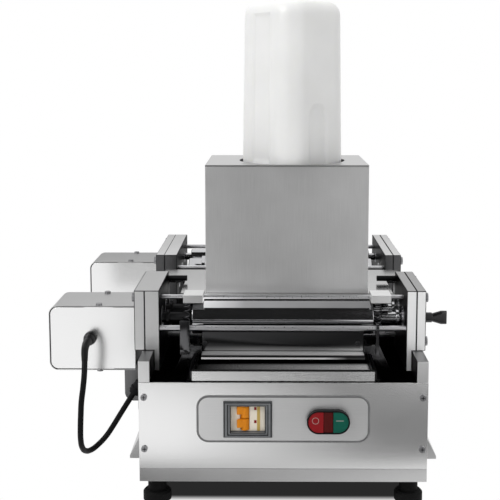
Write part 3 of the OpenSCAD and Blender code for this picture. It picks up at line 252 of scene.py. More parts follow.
# Grazing light would turn these dark steels white, so the tint at the edge comes down. Most of them carry
# painted shade.
DARK_STEEL_EDGE_TINTS = {0.22: [base_top_steel],
             0.35: [tray_floor_steel, inside_steel, scraper_steel, journal_steel, bracket_steel]}
for tint, finishes in DARK_STEEL_EDGE_TINTS.items():
    for finish in finishes:
        edge_tint = finish.node_tree.nodes["Principled BSDF"].inputs["Specular Tint"]
        edge_tint.default_value = (tint, tint, tint, 1.0)
print("painted_gradient_steel", [finish.name for finish in (tray_floor_steel, scraper_steel, flange_steel, lip_steel)])

# %% [markdown]
# ## Other finishes
# Hard-chromed rollers are almost mirrors, with a faint turned grain round them. Rubber and moulded
# plastic get a fine grain in their roughness and bump, and the jug is blow-moulded polythene, milky
# because light scatters inside its wall.

# %% Chrome, rubber and plastics
PATCH_GRAINS = 18
GRAIN_DEPTH_MM = 0.1


def grained(name, dark, light, rough_low, rough_high, grain_mm, lift=0.1, metallic=0.0):
    """A moulded, cast or polished surface with a grain of a given size."""
    material, tree, shader = new_finish(name, light, rough_low, metallic)
    place = add(tree, "ShaderNodeTexCoord").outputs["Object"]
    grain = add(tree, "ShaderNodeTexNoise", None, Vector=place, Scale=1000 / grain_mm, Detail=3.0)
    clouds = add(tree, "ShaderNodeTexNoise", None, Vector=place, Detail=2.0,
                 Scale=1000 / (grain_mm * PATCH_GRAINS))
    tree.links.new(two_tone(tree, clouds.outputs["Fac"], dark, light), shader.inputs["Base Color"])
    tree.links.new(spread(tree, grain.outputs["Fac"], rough_low, rough_high), shader.inputs["Roughness"])
    bump = add(tree, "ShaderNodeBump", None, Strength=lift, Distance=GRAIN_DEPTH_MM * MM,
               Height=grain.outputs["Fac"])
    tree.links.new(bump.outputs["Normal"], shader.inputs["Normal"])
    return material


# Bare metal: sharp bands on the chrome, duller rods, springs and screws.
chrome = grained("roller_chrome_polished", "#b4b4b6", "#d6d6d8", 0.06, 0.11, 4, 0.01, 1.0)
rod_steel = grained("drawn_rod_steel", "#c6c6c8", "#e6e6e8", 0.24, 0.34, 2, 0.02, 1.0)
spring_steel = grained("spring_wire_oil_tempered", "#4a4a4c", "#6a6a6c", 0.35, 0.5, 0.8, 0.05, 1.0)
fastener_steel = grained("zinc_plated_fasteners", "#7a7a7c", "#a6a6a8", 0.3, 0.45, 1, 0.05, 1.0)
brass = grained("gear_brass_machined", "#9a7a38", "#c8a65c", 0.25, 0.4, 1, 0.05, 1.0)
dark_steel = grained("screw_blackened_steel", "#1c1c1d", "#303032", 0.35, 0.55, 1, 0.1, 0.6)
# Painted shade: near black, for the broken edges of the tray and the scraper and for the tray's rims.
edge_shade = grained("painted_shade_on_edges", "#080808", "#121212", 0.6, 0.8, 1, 0.1)
arm_steel = grained("scraper_arm_cast_and_polished", "#242425", "#7a7a7c", 0.1, 0.2, 7, 1.0, 1.0)
# Paint, rubber and plastics: dark and dull, or coloured with a soft shine.
motor_paint = grained("motor_paint_on_cast_metal", "#26282a", "#383a3c", 0.45, 0.6, 1.5, 0.2)
rubber = grained("foot_rubber_moulded", "#070707", "#101010", 0.6, 0.8, 0.8, 0.2)
jacket = grained("cable_jacket_pvc", "#070708", "#0f0f10", 0.42, 0.56, 0.8, 0.1)
black_plastic = grained("black_nylon_moulded", "#0a0a0b", "#141416", 0.38, 0.52, 0.6, 0.15)
knob_plastic = grained("hand_knob_phenolic_polished", "#0c0c0d", "#161618", 0.2, 0.3, 2, 0.05)
bezel_plastic = grained("breaker_bezel_abs_grey", "#606264", "#727476", 0.34, 0.46, 0.6, 0.1)
cream_plastic = grained("breaker_body_thermoset_cream", "#dcd3c2", "#e8dfcf", 0.4, 0.52, 0.8, 0.08)
orange_plastic = grained("breaker_toggle_nylon_orange", "#cc7804", "#da860a", 0.38, 0.48, 0.8, 0.06)
red_plastic = grained("stop_cap_abs_red", "#780a12", "#8c0e16", 0.24, 0.34, 1, 0.03)
green_plastic = grained("start_cap_abs_green", "#014a3c", "#055a49", 0.24, 0.34, 1, 0.03)
lens_plastic = grained("pilot_lens_acrylic_red", "#400807", "#520b0a", 0.18, 0.26, 2, 0.02)
mark_paint = grained("button_mark_white_print", "#a09a94", "#b0aaa4", 0.45, 0.55, 0.6, 0.05)
strip_paint = grained("breaker_strip_yellow_print", "#b6984a", "#c2a658", 0.45, 0.55, 0.6, 0.05)
groove_shade = grained("control_plate_groove_shadowed", "#5e5e5f", "#747475", 0.5, 0.65, 1, 0.05)
# A moulded grain scatters the shine, so these reflect less than their index says.
DULL = {0.22: [bezel_plastic, orange_plastic, red_plastic, green_plastic, lens_plastic],
        0.1: [rubber, jacket, black_plastic, edge_shade]}
for level, finishes in DULL.items():
    for finish in finishes:
        finish.node_tree.nodes["Principled BSDF"].inputs["Specular IOR Level"].default_value = level
jug_plastic = grained("jug_polythene_milky", "#e1e1e0", "#eaeae9", 0.3, 0.42, 3, 0.04)
cap_plastic = grained("jug_cap_polythene", "#e2e2de", "#f0f0ec", 0.35, 0.45, 1.5, 0.05)
milk = jug_plastic.node_tree.nodes["Principled BSDF"]
milk.inputs["Subsurface Weight"].default_value = 0.5
milk.inputs["Subsurface Radius"].default_value = (0.02, 0.02, 0.018)
milk.inputs["Subsurface Scale"].default_value = 0.5
print(len(bpy.data.materials), "materials")

# %% [markdown]
# ## Finishes of the pieces
# Every solid gets a finish; most show their real material, and a few of the steels carry painted shade.
# The model's record says which body a piece moves with.

# %% Finish of every piece
# The base top, the tray guides and the scraper plate get steels with painted shade.
FINISHES = {
    panel_steel: ["front_panel"],
    pan_steel: ["base_pan"],
    tray_steel: ["crumb_tray"],
    control_steel: ["control_plate"],
    side_steel: ["base_shell", "deck_brackets", "din_rail"],
    rail_steel: ["side_rails", "deck_blocks"],
    hood_steel: ["vent_hoods"],
    bracket_steel: ["motor_brackets"],
    inside_steel: ["tray_guides"],
    base_top_steel: ["base_top"],
    scraper_steel: ["scraper_plate"],
    deck_steel: ["deck_plate"],
    hopper_steel: ["hopper_body"],
    lid_steel: ["hopper_lid"],
    plate_steel: ["front_left_inner_plate", "front_left_outer_plate", "front_right_inner_plate",
                  "front_right_outer_plate", "rear_left_plates", "rear_right_plates"],
    cover_steel: ["front_motor_cover", "rear_motor_cover"],
    end_plate_steel: ["cover_end_plates"],
    chrome: ["front_drive_roller", "front_counter_roller", "rear_drive_roller", "rear_counter_roller",
             "rear_idler_roller"],
    rod_steel: ["tie_rods", "roller_bearings"],
    spring_steel: ["block_springs"],
    fastener_steel: ["screws", "foot_bolts"],
    brass: ["front_drive_gear", "front_counter_gear", "rear_drive_gear", "rear_counter_gear"],
    arm_steel: ["scraper_arms"],
    motor_paint: ["front_gearmotor", "rear_gearmotor"],
    rubber: ["rubber_feet"],
    jacket: ["motor_cable"],
    knob_plastic: ["hand_knob"],
    black_plastic: ["button_housing", "base_gland", "rear_glands", "motor_gland",
                    "deck_lock_pins", "contact_block"],
    bezel_plastic: ["breaker_bezel"],
    cream_plastic: ["breaker_body"],
    orange_plastic: ["breaker_toggle"],
    red_plastic: ["stop_button"],
    green_plastic: ["start_button"],
    lens_plastic: ["pilot_lens"],
    jug_plastic: ["jug"],
    cap_plastic: ["jug_cap"],
}
body_of = {name: body for body, names in frame["record"]["behaviour"]["bodies"].items() for name in names}
for finish, names in FINISHES.items():
    for name in names:
        nodes[name].data.materials.clear()
        nodes[name].data.materials.append(finish)
print(sum(len(names) for names in FINISHES.values()), "pieces have a finish")

# %% [markdown]
# ## Soft edges
# Sheet and plate edges on the real machine are broken by deburring, and that thin rounded line is what
# catches the light. Each rigid piece is copied from its solid, its flat faces are joined back into one
# polygon each, and a bevel of a fraction of a millimetre is put on the sharp edges.

# %% Dress the rigid pieces
SOFT_EDGES_MM = {
    1.0: ["front_left_inner_plate", "front_left_outer_plate", "front_right_inner_plate",
          "front_right_outer_plate", "rear_left_plates", "rear_right_plates", "stop_button", "start_button"],
    0.8: ["side_rails", "deck_blocks", "front_motor_cover", "rear_motor_cover", "motor_brackets",
          "hand_knob", "scraper_plate"],
    0.5: ["breaker_bezel"],
    0.6: ["crumb_tray"],
    0.4: ["front_panel", "control_plate", "base_pan", "base_top", "base_shell", "hopper_body", "hopper_lid",
          "deck_plate", "vent_hoods", "scraper_arms", "cover_end_plates",
          "button_housing", "breaker_body", "pilot_lens", "deck_brackets", "base_gland", "rubber_feet",
          "front_drive_roller", "front_counter_roller", "rear_drive_roller", "rear_counter_roller"],
}
SHARP = math.radians(32)
FLAT_ANGLE = math.radians(0.5)
WELD_M = 1e-6
SAME_PLACE_M = 1e-5
TIGHT_PLATES = ("front_left_inner_plate", "front_left_outer_plate", "rear_left_plates")
TIGHT_JOINT_MM = -187
STAND_TOP_MM = 282
# On these the bevel gets narrower where it would cross the next edge.
SMALL_PIECES = ("stop_button", "start_button", "pilot_lens")


def in_tight_joint(name, edge):
    """True for a top edge where two left plates were ground flush together, so that no seam shows."""
    if name not in TIGHT_PLATES:
        return False
    joint = spot(TIGHT_JOINT_MM, 0, STAND_TOP_MM)
    return all(abs(v.co.x - joint.x) < SAME_PLACE_M and abs(v.co.z - joint.z) < SAME_PLACE_M
               for v in edge.verts)


def softened(name, width_mm):
    """A copy of a solid with a thin bevel on its sharp edges, which stands for the solid."""
    mesh = nodes[name].data.copy()
    work = bmesh.new()
    work.from_mesh(mesh)
    bmesh.ops.remove_doubles(work, verts=work.verts, dist=WELD_M)
    bmesh.ops.dissolve_limit(work, angle_limit=FLAT_ANGLE, verts=work.verts, edges=work.edges)
    weights = work.edges.layers.float.new("bevel_weight_edge")
    for edge in work.edges:
        if len(edge.link_faces) == 2 and edge.calc_face_angle() > SHARP and not in_tight_joint(name, edge):
            edge[weights] = 1.0
    work.to_mesh(mesh)
    work.free()
    piece = bpy.data.objects.new(name + "_dressed", mesh)
    bpy.context.scene.collection.objects.link(piece)
    bevel = piece.modifiers.new("deburred_edges", "BEVEL")
    bevel.width = width_mm * MM
    bevel.segments = 2
    bevel.limit_method = "WEIGHT"
    bevel.use_clamp_overlap = name in SMALL_PIECES
    bevel.harden_normals = True
    mesh.shade_smooth()
    mesh.set_sharp_from_angle(angle=SHARP)
    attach(piece, body_of[name])
    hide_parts(name)
    return piece


dressed = {name: softened(name, width) for width, names in SOFT_EDGES_MM.items() for name in names}
print(len(dressed), "pieces with soft edges")

# %% [markdown]
# One piece of steel can show several finishes, and several of them are painted light and shade. The stand
# plates are drawn dark where they look at the rollers, and so are the rails' inner sides, the inside of the
# tray and its rims, the rear rollers' journals and the left ones of the front rollers: painted shade. The
# right plates' front faces are drawn whiter, a painted light, and the tops of plates and rails darker, a
# painted shade. These faces are found by the way they point and by their place. The broken edges take the
# first, dark finish of each list, which draws a painted shadow along them and the thin dark seam between
# two plates.

# %% Faces with painted shade and light
LEFT, RIGHT, BACK, FRONT, UP = (-1, 0, 0), (1, 0, 0), (0, 1, 0), (0, -1, 0), (0, 0, 1)
FACING = 0.9
FACE_FINISHES = {
    "front_left_inner_plate": {inside_steel: [RIGHT, BACK], left_top_steel: [UP]},
    "front_left_outer_plate": {inside_steel: [], left_top_steel: [UP]},
    "front_right_inner_plate": {inside_steel: [LEFT, BACK], lit_front_steel: [FRONT], plate_top_steel: [UP]},
    "front_right_outer_plate": {inside_steel: [], lit_front_steel: [FRONT], plate_top_steel: [UP]},
    "rear_left_plates": {inside_steel: [RIGHT], shaded_steel: [FRONT]},
    "rear_right_plates": {inside_steel: [LEFT], shaded_steel: [FRONT]},
    "scraper_plate": {edge_shade: [], flange_steel: [UP]},
    "crumb_tray": {edge_shade: []},
    "breaker_bezel": {black_plastic: []},
    "control_plate": {groove_shade: []},
}


def face_finishes(name, finishes):
    """Gives the faces that point certain ways their own finish, and the broken edges the first one."""
    mesh = dressed[name].data
    count = 0
    for index, (finish, ways) in enumerate(finishes.items(), 1):
        mesh.materials.append(finish)
        for face in mesh.polygons:
            if any(face.normal.dot(Vector(way)) > FACING for way in ways):
                face.material_index = index
                count += 1
    # The broken edges take the first, dark finish: a painted shadow along them.
    dressed[name].modifiers["deburred_edges"].material = 1
    return count


def zone_finish(name, finish, inside):
    """Gives the faces for which inside(normal, centre in mm) holds a finish of their own."""
    mesh = dressed[name].data
    mesh.materials.append(finish)
    faces = [face for face in mesh.polygons if inside(face.normal, (face.center - spot(0, 0, 0)) / MM)]
    for face in faces:
        face.material_index = len(mesh.materials) - 1
    return len(faces)


print({name: face_finishes(name, finishes) for name, finishes in FACE_FINISHES.items()})
TRAY_FRONT_MM = 14
TRAY_FLOOR_MM = 176
SCRAPER_LIP_MM = 34
FRONT_JOURNAL_MM = -124.5
REAR_JOURNAL_MM = 154.5
# Painted shade on the rails' inner sides and tops, the tray's sides and rims and the journals; painted shade
# and reflection on the tray's floor and the scraper's lip.
# A rail's inner side looks back to the middle, so its normal and its place differ in sign.
print("rail sides", zone_finish("side_rails", inside_steel, lambda n, c: n.x * c.x < -0.1))
print("rail tops", zone_finish("side_rails", rail_top_steel, lambda n, c: n.z > FACING))
print("tray sides", zone_finish("crumb_tray", inside_steel,
                                lambda n, c: c.y > TRAY_FRONT_MM and abs(n.y) < FACING))
print("tray floor", zone_finish("crumb_tray", tray_floor_steel,
                                lambda n, c: n.z > FACING and c.z < TRAY_FLOOR_MM))
print("tray rims", zone_finish("crumb_tray", edge_shade, lambda n, c: n.z > FACING and c.z > TRAY_FLOOR_MM))
print("scraper lip", zone_finish("scraper_plate", lip_steel,
                                 lambda n, c: n.y < -FACING and c.y < SCRAPER_LIP_MM))
for name in ("front_drive_roller", "front_counter_roller"):
    zone_finish(name, journal_steel, lambda n, c: c.x < FRONT_JOURNAL_MM)
for name in ("rear_drive_roller", "rear_counter_roller"):
    zone_finish(name, journal_steel, lambda n, c: abs(c.x) > REAR_JOURNAL_MM)

# %% [markdown]
# ## The motor cable
# A round rubber-jacketed cable leaves the gland in the front motor's cover, hangs down in one loop and
# goes up into the boot on the side of the base. It is one smooth curve with a round section.

# %% Motor cable
CABLE_MM = 7.5
# The smooth curve is a little longer than straight steps between its points.
CABLE_ROUTE_MM = [
    (-262, 37.8, 215), (-262, 25.78, 215), (-261, 10, 211), (-259, -3, 201), (-258, -12, 187),
    (-259, -17, 170), (-261, -20, 152), (-262, -21, 134), (-263, -20, 116), (-264, -15, 99),
    (-264, -6, 85), (-262, 7, 75), (-257, 21, 71), (-250, 35, 73), (-241, 44, 81),
    (-232, 46, 94), (-222.5, 46, 109.5), (-213, 45, 125), (-202.7, 45, 141.48),
]


def curve_piece(name, strands, width_mm, finish, radii=None):
    """Round wires or cables through lists of points in metres; radii thin or thicken them point by point."""
    curve = bpy.data.curves.new(name, "CURVE")
    curve.dimensions = "3D"
    curve.bevel_depth = width_mm / 2 * MM
    curve.bevel_resolution = 6
    curve.resolution_u = 8
    curve.use_fill_caps = True
    for points in strands:
        spline = curve.splines.new("BEZIER")
        spline.bezier_points.add(len(points) - 1)
        for knot, point, radius in zip(spline.bezier_points, points, radii or [1.0] * len(points)):
            knot.co = point
            knot.radius = radius
            knot.handle_left_type = knot.handle_right_type = "AUTO"
    curve.materials.append(finish)
    piece = bpy.data.objects.new(name, curve)
    bpy.context.scene.collection.objects.link(piece)
    return piece


route = [spot(*p) for p in CABLE_ROUTE_MM]
cable = curve_piece("motor_cable_round", [route], CABLE_MM, jacket)
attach(cable, body_of["motor_cable"])
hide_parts("motor_cable")

# %% [markdown]
# A moulded sleeve keeps the cable from kinking where it leaves the gland. It is a short curve on the same
# points that gets thinner away from the gland. The gland's nut is turned, with a round nose.

# %% Helpers for turned and stamped pieces
def set_piece(name, mesh, finish, body, stands_for=None, bevel_mm=0.0):
    """Puts a mesh in the scene on a body; stands_for names the solid that it takes the place of."""
    mesh.materials.append(finish)
    mesh.shade_smooth()
    mesh.set_sharp_from_angle(angle=SHARP)
    piece = bpy.data.objects.new(name, mesh)
    bpy.context.scene.collection.objects.link(piece)
    if bevel_mm:
        bevel = piece.modifiers.new("rounded_edges", "BEVEL")
        bevel.width = bevel_mm * MM
        bevel.segments = 3
        bevel.limit_method = "ANGLE"
        bevel.angle_limit = SHARP
        bevel.harden_normals = True
    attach(piece, body)
    if stands_for:
        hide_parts(stands_for)
    return piece


def skin(name, rings, close_start=False, close_end=False):
    """A mesh through rings of points that all have the same count."""
    count = len(rings[0])
    points = [point for ring in rings for point in ring]
    faces = []
    for k in range(len(rings) - 1):
        for i in range(count):
            n = (i + 1) % count
            faces.append((k * count + i, k * count + n, (k + 1) * count + n, (k + 1) * count + i))
    if close_start:
        faces.append(tuple(reversed(range(count))))
    if close_end:
        faces.append(tuple(range((len(rings) - 1) * count, len(rings) * count)))
    mesh = bpy.data.meshes.new(name)
    mesh.from_pydata(points, [], faces)
    work = bmesh.new()
    work.from_mesh(mesh)
    bmesh.ops.recalc_face_normals(work, faces=work.faces)
    work.to_mesh(mesh)
    work.free()
    return mesh


def turned(name, profile, centre, axis, steps=48):
    """A profile of (radius, distance along) in mm, turned about an axis through a centre in mm."""
    along = Vector(axis).normalized()
    side = along.orthogonal().normalized()
    rings = []
    for radius, distance in profile:
        middle = spot(*centre) + along * distance * MM
        arm = side * radius * MM
        turns = [Matrix.Rotation(2 * math.pi * i / steps, 3, along) for i in range(steps)]
        rings.append([middle + turn @ arm for turn in turns])
    return skin(name, rings, True, True)


def outline(width, height, radius, steps=14):
    """A rectangle with round corners, centred on zero, as (x, z) points in mm."""
    points = []
    for k, (sx, sz) in enumerate([(1, 1), (-1, 1), (-1, -1), (1, -1)]):
        for i in range(steps + 1):
            turn = math.radians(90 * k + 90 * i / steps)
            points.append((sx * (width / 2 - radius) + radius * math.cos(turn),
                           sz * (height / 2 - radius) + radius * math.sin(turn)))
    return points


def stood_ring(name, sizes, centre):
    """A band between two round-cornered outlines on an upright panel; all sizes are in mm."""
    x, z = centre
    outer, inner = outline(*sizes["outer"]), outline(*sizes["inner"])
    front, back = sizes["front"], sizes["back"]
    loops = [(outer, back), (outer, front), (inner, front), (inner, back), (outer, back)]
    rings = [[spot(x + px, y, z + pz) for px, pz in points] for points, y in loops]
    return skin(name, rings)


# %% Sleeve and gland
SLEEVE_MM = 11.6
SLEEVE_TAPER = [1.0, 0.92, 0.82, 0.71]
sleeve_route = route[:len(SLEEVE_TAPER)]
sleeve = curve_piece("cable_sleeve", [sleeve_route], SLEEVE_MM, black_plastic, SLEEVE_TAPER)
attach(sleeve, "frame")
GLAND_MM = (-262, 55.8, 215)
GLAND_PROFILE_MM = [(8.6, 0), (8.6, 4.5), (8.1, 5.2), (7.7, 6.2), (7.7, 10), (7.3, 12.6), (6.6, 15),
                    (5.8, 17), (5.2, 18)]
gland_mesh = turned("motor_gland_round", GLAND_PROFILE_MM, GLAND_MM, (0, -1, 0))
set_piece("motor_gland_round", gland_mesh, black_plastic, "frame", "motor_gland")
print("sleeve", round(sum((b - a).length for a, b in zip(sleeve_route, sleeve_route[1:])), 3), "m")

# %% [markdown]
# ## Springs
# A coiled spring presses each deck block down on its arm. It is a wire wound on a helix whose pitch gets
# small at both ends, as on a spring with closed ends.

# %% Block springs
SPRING_MM = {"x": 131.5, "y": 74, "low": 226.85, "tall": 32.8, "radius": 3.95, "wire": 1.6}
SPRING_TURNS = 6
STEPS_PER_TURN = 14
SPRING_CLOSING = 0.6


def helix(side):
    """Points of one spring, left for side -1 and right for side 1."""
    steps = SPRING_TURNS * STEPS_PER_TURN
    points = []
    for i in range(steps + 1):
        t = i / steps
        rise = t - SPRING_CLOSING * math.sin(2 * math.pi * t) / (2 * math.pi)
        turn = 2 * math.pi * SPRING_TURNS * t
        points.append(spot(side * SPRING_MM["x"] + SPRING_MM["radius"] * math.cos(turn),
                           SPRING_MM["y"] + SPRING_MM["radius"] * math.sin(turn),
                           SPRING_MM["low"] + SPRING_MM["tall"] * rise))
    return points


springs = curve_piece("block_springs_wound", [helix(-1), helix(1)], SPRING_MM["wire"], spring_steel)
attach(springs, body_of["block_springs"])
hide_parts("block_springs")
print("springs", len(springs.data.splines))

# %% [markdown]
# ## The jug
# The jug is blow-moulded: a square bottle with round corners and shoulders, pushed neck down through the
# hopper's lid. Two of its sides have a shallow panel pressed in, one of them with an arched top. It is a
# skin through rounded squares, and points inside a panel move in by up to two millimetres.

# %% Jug
JUG_MM = {"x": 14.5, "y": 184.573, "base": 397.05, "top": 674, "neck": 60, "neck_long": 50}
JUG_TURN = math.radians(40)
JUG_ARC = 12
JUG_STRAIGHT = 28
JUG_SIDE_MM = {"foot": 86, "wide": 119.5, "taper": 5, "crown_in": 28}
JUG_CORNER_MM = {"foot": 21, "side": 30, "crown_in": 4}
SHOULDER_MM = 26
SHOULDER_STEPS = 8
SIDE_STEPS = 70
CROWN_MM = 20
CROWN_STEPS = 10
TOP_RINGS_MM = [(60, 20), (30, 10), (6, 2)]
PANEL_DEPTH_MM = 2.0
PANEL_EDGE_MM = 4
ARCH_MM = {"half": 18, "shift": 3, "spring": 512, "foot": 428}
TALL_PANEL_MM = {"half": 20, "top": 657, "foot": 446}


def jug_slices():
    """Heights, widths and corner radii in mm, from the neck's end to the top."""
    base, top, neck = JUG_MM["base"], JUG_MM["top"], JUG_MM["neck"]
    side, corner = JUG_SIDE_MM, JUG_CORNER_MM
    # The neck's corner radius is almost half its width, which makes it round.
    slices = [(base - JUG_MM["neck_long"], neck, neck / 2 - 0.01), (base - 0.5, neck, neck / 2 - 0.01)]
    for i in range(SHOULDER_STEPS + 1):
        turn = math.radians(90 * i / SHOULDER_STEPS)
        slices.append((base + SHOULDER_MM * (1 - math.cos(turn)),
                       side["foot"] + (side["wide"] - side["foot"]) * math.sin(turn),
                       corner["foot"] + (corner["side"] - corner["foot"]) * math.sin(turn)))
    low, high = base + SHOULDER_MM, top - CROWN_MM
    for i in range(1, SIDE_STEPS + 1):
        slices.append((low + (high - low) * i / SIDE_STEPS, side["wide"] - side["taper"] * i / SIDE_STEPS,
                       corner["side"]))
    for i in range(1, CROWN_STEPS + 1):
        turn = math.radians(90 * i / CROWN_STEPS)
        width = side["wide"] - side["taper"] - side["crown_in"] * (1 - math.cos(turn))
        slices.append((high + CROWN_MM * math.sin(turn), width,
                       corner["side"] - corner["crown_in"] * (i / CROWN_STEPS) ** 2))
    slices += [(top, width, radius) for width, radius in TOP_RINGS_MM]
    return slices


def panel_push(u, z, arched):
    """How far in mm a point of a side at u across and z up lies pressed in."""
    if arched:
        off = u + ARCH_MM["shift"]
        away = abs(off) if z < ARCH_MM["spring"] else math.hypot(off, z - ARCH_MM["spring"])
        inside = min(ARCH_MM["half"] - away, z - ARCH_MM["foot"])
    else:
        inside = min(TALL_PANEL_MM["half"] - abs(u), TALL_PANEL_MM["top"] - z, z - TALL_PANEL_MM["foot"])
    t = min(max(inside / PANEL_EDGE_MM, 0), 1)
    return PANEL_DEPTH_MM * t * t * (3 - 2 * t)


def jug_ring(z, side, radius):
    """Points in metres round one slice of the jug."""
    reach = side / 2 - radius
    ring = []
    for k in range(4):
        turn = math.radians(90 * k)
        for i in range(JUG_ARC + JUG_STRAIGHT):
            if i < JUG_ARC:
                bend = math.radians(90 * i / JUG_ARC)
                x, y = reach + radius * math.cos(bend), reach + radius * math.sin(bend)
            else:
                x, y = reach - 2 * reach * (i - JUG_ARC) / JUG_STRAIGHT, side / 2
                if k == 1:
                    y -= panel_push(-x, z, False)
                if k == 2:
                    y -= panel_push(-x, z, True)
            spun = Matrix.Rotation(turn + JUG_TURN, 2) @ Vector((x, y))
            ring.append(spot(JUG_MM["x"] + spun.x, JUG_MM["y"] + spun.y, z))
    return ring


jug_mesh = skin("jug_moulded", [jug_ring(*cut) for cut in jug_slices()], False, True)
set_piece("jug_moulded", jug_mesh, jug_plastic, "jug", "jug")
print("jug", len(jug_mesh.vertices), "points")

# %% [markdown]
# ## The controls
# The breaker's lever is two drums with a paddle each, one for each pole. Coloured strips and marks on
# its face are thin printed plates. The push buttons sit in a raised rim and carry the usual circle for
# stop and bar for start. A thin dark band round the control plate is a painted shadow of the groove at
# its edge.

# %% Breaker lever and face
LEVER_AXIS_MM = (-50.5, 5.0)
DRUM_MM = 5.9
PADDLE_MM = [(-10.6, -5.6), (-9.4, -7.6), (-2.4, -6.2), (1.5, -4.5), (0.5, 1.5), (-4.5, 2.5)]
BAR_FACES = [(0, 1, 3, 2), (4, 6, 7, 5), (0, 4, 5, 1), (2, 3, 7, 6), (0, 2, 6, 4), (1, 5, 7, 3)]


def bars(name, boxes):
    """A mesh of several six-sided bars, each given by two opposite corners in mm."""
    points, faces = [], []
    for low, high in boxes:
        first = len(points)
        for x in (low[0], high[0]):
            for y in (low[1], high[1]):
                for z in (low[2], high[2]):
                    points.append(spot(x, y, z))
        faces += [tuple(first + corner for corner in face) for face in BAR_FACES]
    mesh = bpy.data.meshes.new(name)
    mesh.from_pydata(points, [], faces)
    return mesh


def joined(name, meshes):
    """One mesh made of several."""
    work = bmesh.new()
    for mesh in meshes:
        work.from_mesh(mesh)
    whole = bpy.data.meshes.new(name)
    work.to_mesh(whole)
    work.free()
    return whole


def lever(low, high, paddle_low, paddle_high):
    """A drum and its paddle between heights in mm."""
    x, y = LEVER_AXIS_MM
    drum = turned("drum", [(DRUM_MM, 0), (DRUM_MM, high - low)], (x, y, low), (0, 0, 1))
    levels = [[spot(x + px, y + py, z) for px, py in PADDLE_MM] for z in (paddle_low, paddle_high)]
    return [drum, skin("paddle", levels, True, True)]


POLES_MM = [(106, 121.5, 110.3, 121.4), (122.5, 138, 128.2, 139.4)]
LEVER_ROUND_MM = 0.7
STRIP_MM = [((-34.4, 2.8, 105), (-30.4, 3.2, 139))]
MARKS_MM = [((-38.2, 2.8, 133), (-35, 3.2, 137)), ((-38.2, 2.8, 115.2), (-35, 3.2, 119.2))]
lever_mesh = joined("breaker_lever", [mesh for pole in POLES_MM for mesh in lever(*pole)])
set_piece("breaker_lever", lever_mesh, orange_plastic, "toggle", "breaker_toggle",
          LEVER_ROUND_MM)
set_piece("breaker_strip", bars("breaker_strip", STRIP_MM), strip_paint, "frame")
set_piece("breaker_marks", bars("breaker_marks", MARKS_MM), red_plastic, "frame")
print("breaker lever", len(lever_mesh.vertices), "points")

# %% Button rim and marks
BUTTON_MM = (59, 120.5)
RIM_MM = {"outer": (56.4, 31.4, 15.6), "inner": (53.2, 28.2, 14.05), "front": -10.3, "back": -7.6}
RIM_ROUND_MM = 0.5
STOP_MM = (42, 122.8)
CIRCLE_MM = {"outer": (8.8, 8.8, 4.39), "inner": (7.9, 7.9, 3.94), "front": -9.62, "back": -9.4}
START_BAR_MM = [((68.9, -9.62, 122.55), (78.9, -9.4, 123.25))]
rim = stood_ring("button_rim", RIM_MM, BUTTON_MM)
set_piece("button_rim", rim, black_plastic, "frame", None, RIM_ROUND_MM)
circle = stood_ring("stop_circle", CIRCLE_MM, STOP_MM)
set_piece("stop_circle", circle, mark_paint, "stop")
set_piece("start_bar", bars("start_bar", START_BAR_MM), mark_paint, "start")
print("rim", len(rim.vertices), "points, circle", len(circle.vertices))

# %% Plate line and screw slots
PLATE_MM = (0, 122)
PLATE_LINE_MM = {"outer": (227, 63, 15.5), "inner": (224, 60, 14), "front": -1.32, "back": -1.1}
# A thin dark band at the plate's edge: painted shadow of the groove round it.
line = stood_ring("control_plate_line", PLATE_LINE_MM, PLATE_MM)
set_piece("control_plate_line", line, groove_shade, "frame")
# The screws' cross slots are thin black bars on their heads: painted shade of the recessed slots.
PANEL_SCREWS_MM = [(x, z) for x in (-183, 183) for z in (81, 151)]
SLOT_MM = {"long": 2.6, "wide": 0.45, "front": -2.46, "back": -2.3}
cross_boxes = []
for x, z in PANEL_SCREWS_MM:
    for half, rise in ((SLOT_MM["long"], SLOT_MM["wide"]), (SLOT_MM["wide"], SLOT_MM["long"])):
        cross_boxes.append(((x - half, SLOT_MM["front"], z - rise), (x + half, SLOT_MM["back"], z + rise)))
set_piece("panel_screw_slots", bars("panel_screw_slots", cross_boxes), black_plastic, "frame")
SCRAPER_SCREW_PROFILE_MM = [(3.6, -0.3), (3.6, 1.5), (3.1, 2.1), (1.7, 2.3), (1.5, 1.5), (0.2, 1.4)]
SCRAPER_SCREWS_MM = {"left": (-106, 56.5, 208.2), "right": (102, 56.5, 208.2)}
SCRAPER_FACE = (0, -0.9934, -0.1147)
for side, place in SCRAPER_SCREWS_MM.items():
    screw = turned("scraper_screw_" + side, SCRAPER_SCREW_PROFILE_MM, place, SCRAPER_FACE)
    set_piece("scraper_screw_" + side, screw, dark_steel, "frame")
print(len(PANEL_SCREWS_MM), "panel screws,", len(SCRAPER_SCREWS_MM), "scraper screws")

# %% [markdown]
# ## Floor, light and background
# A pale floor and a white background keep attention on the machine. The world shows white to the camera
# and to reflections, and gives only soft light to matt surfaces; large lamps add shape. Under the base,
# where little light gets in, the floor is drawn dark with a soft border.

# %% Floor and light
FLOOR_HALF_M = 6
floor_mesh = bpy.data.meshes.new("floor")
floor_corners = [(x * FLOOR_HALF_M, y * FLOOR_HALF_M, 0) for x, y in ((-1, -1), (1, -1), (1, 1), (-1, 1))]
floor_mesh.from_pydata(floor_corners, [], [(0, 1, 2, 3)])
floor = bpy.data.objects.new("floor", floor_mesh)
bpy.context.scene.collection.objects.link(floor)


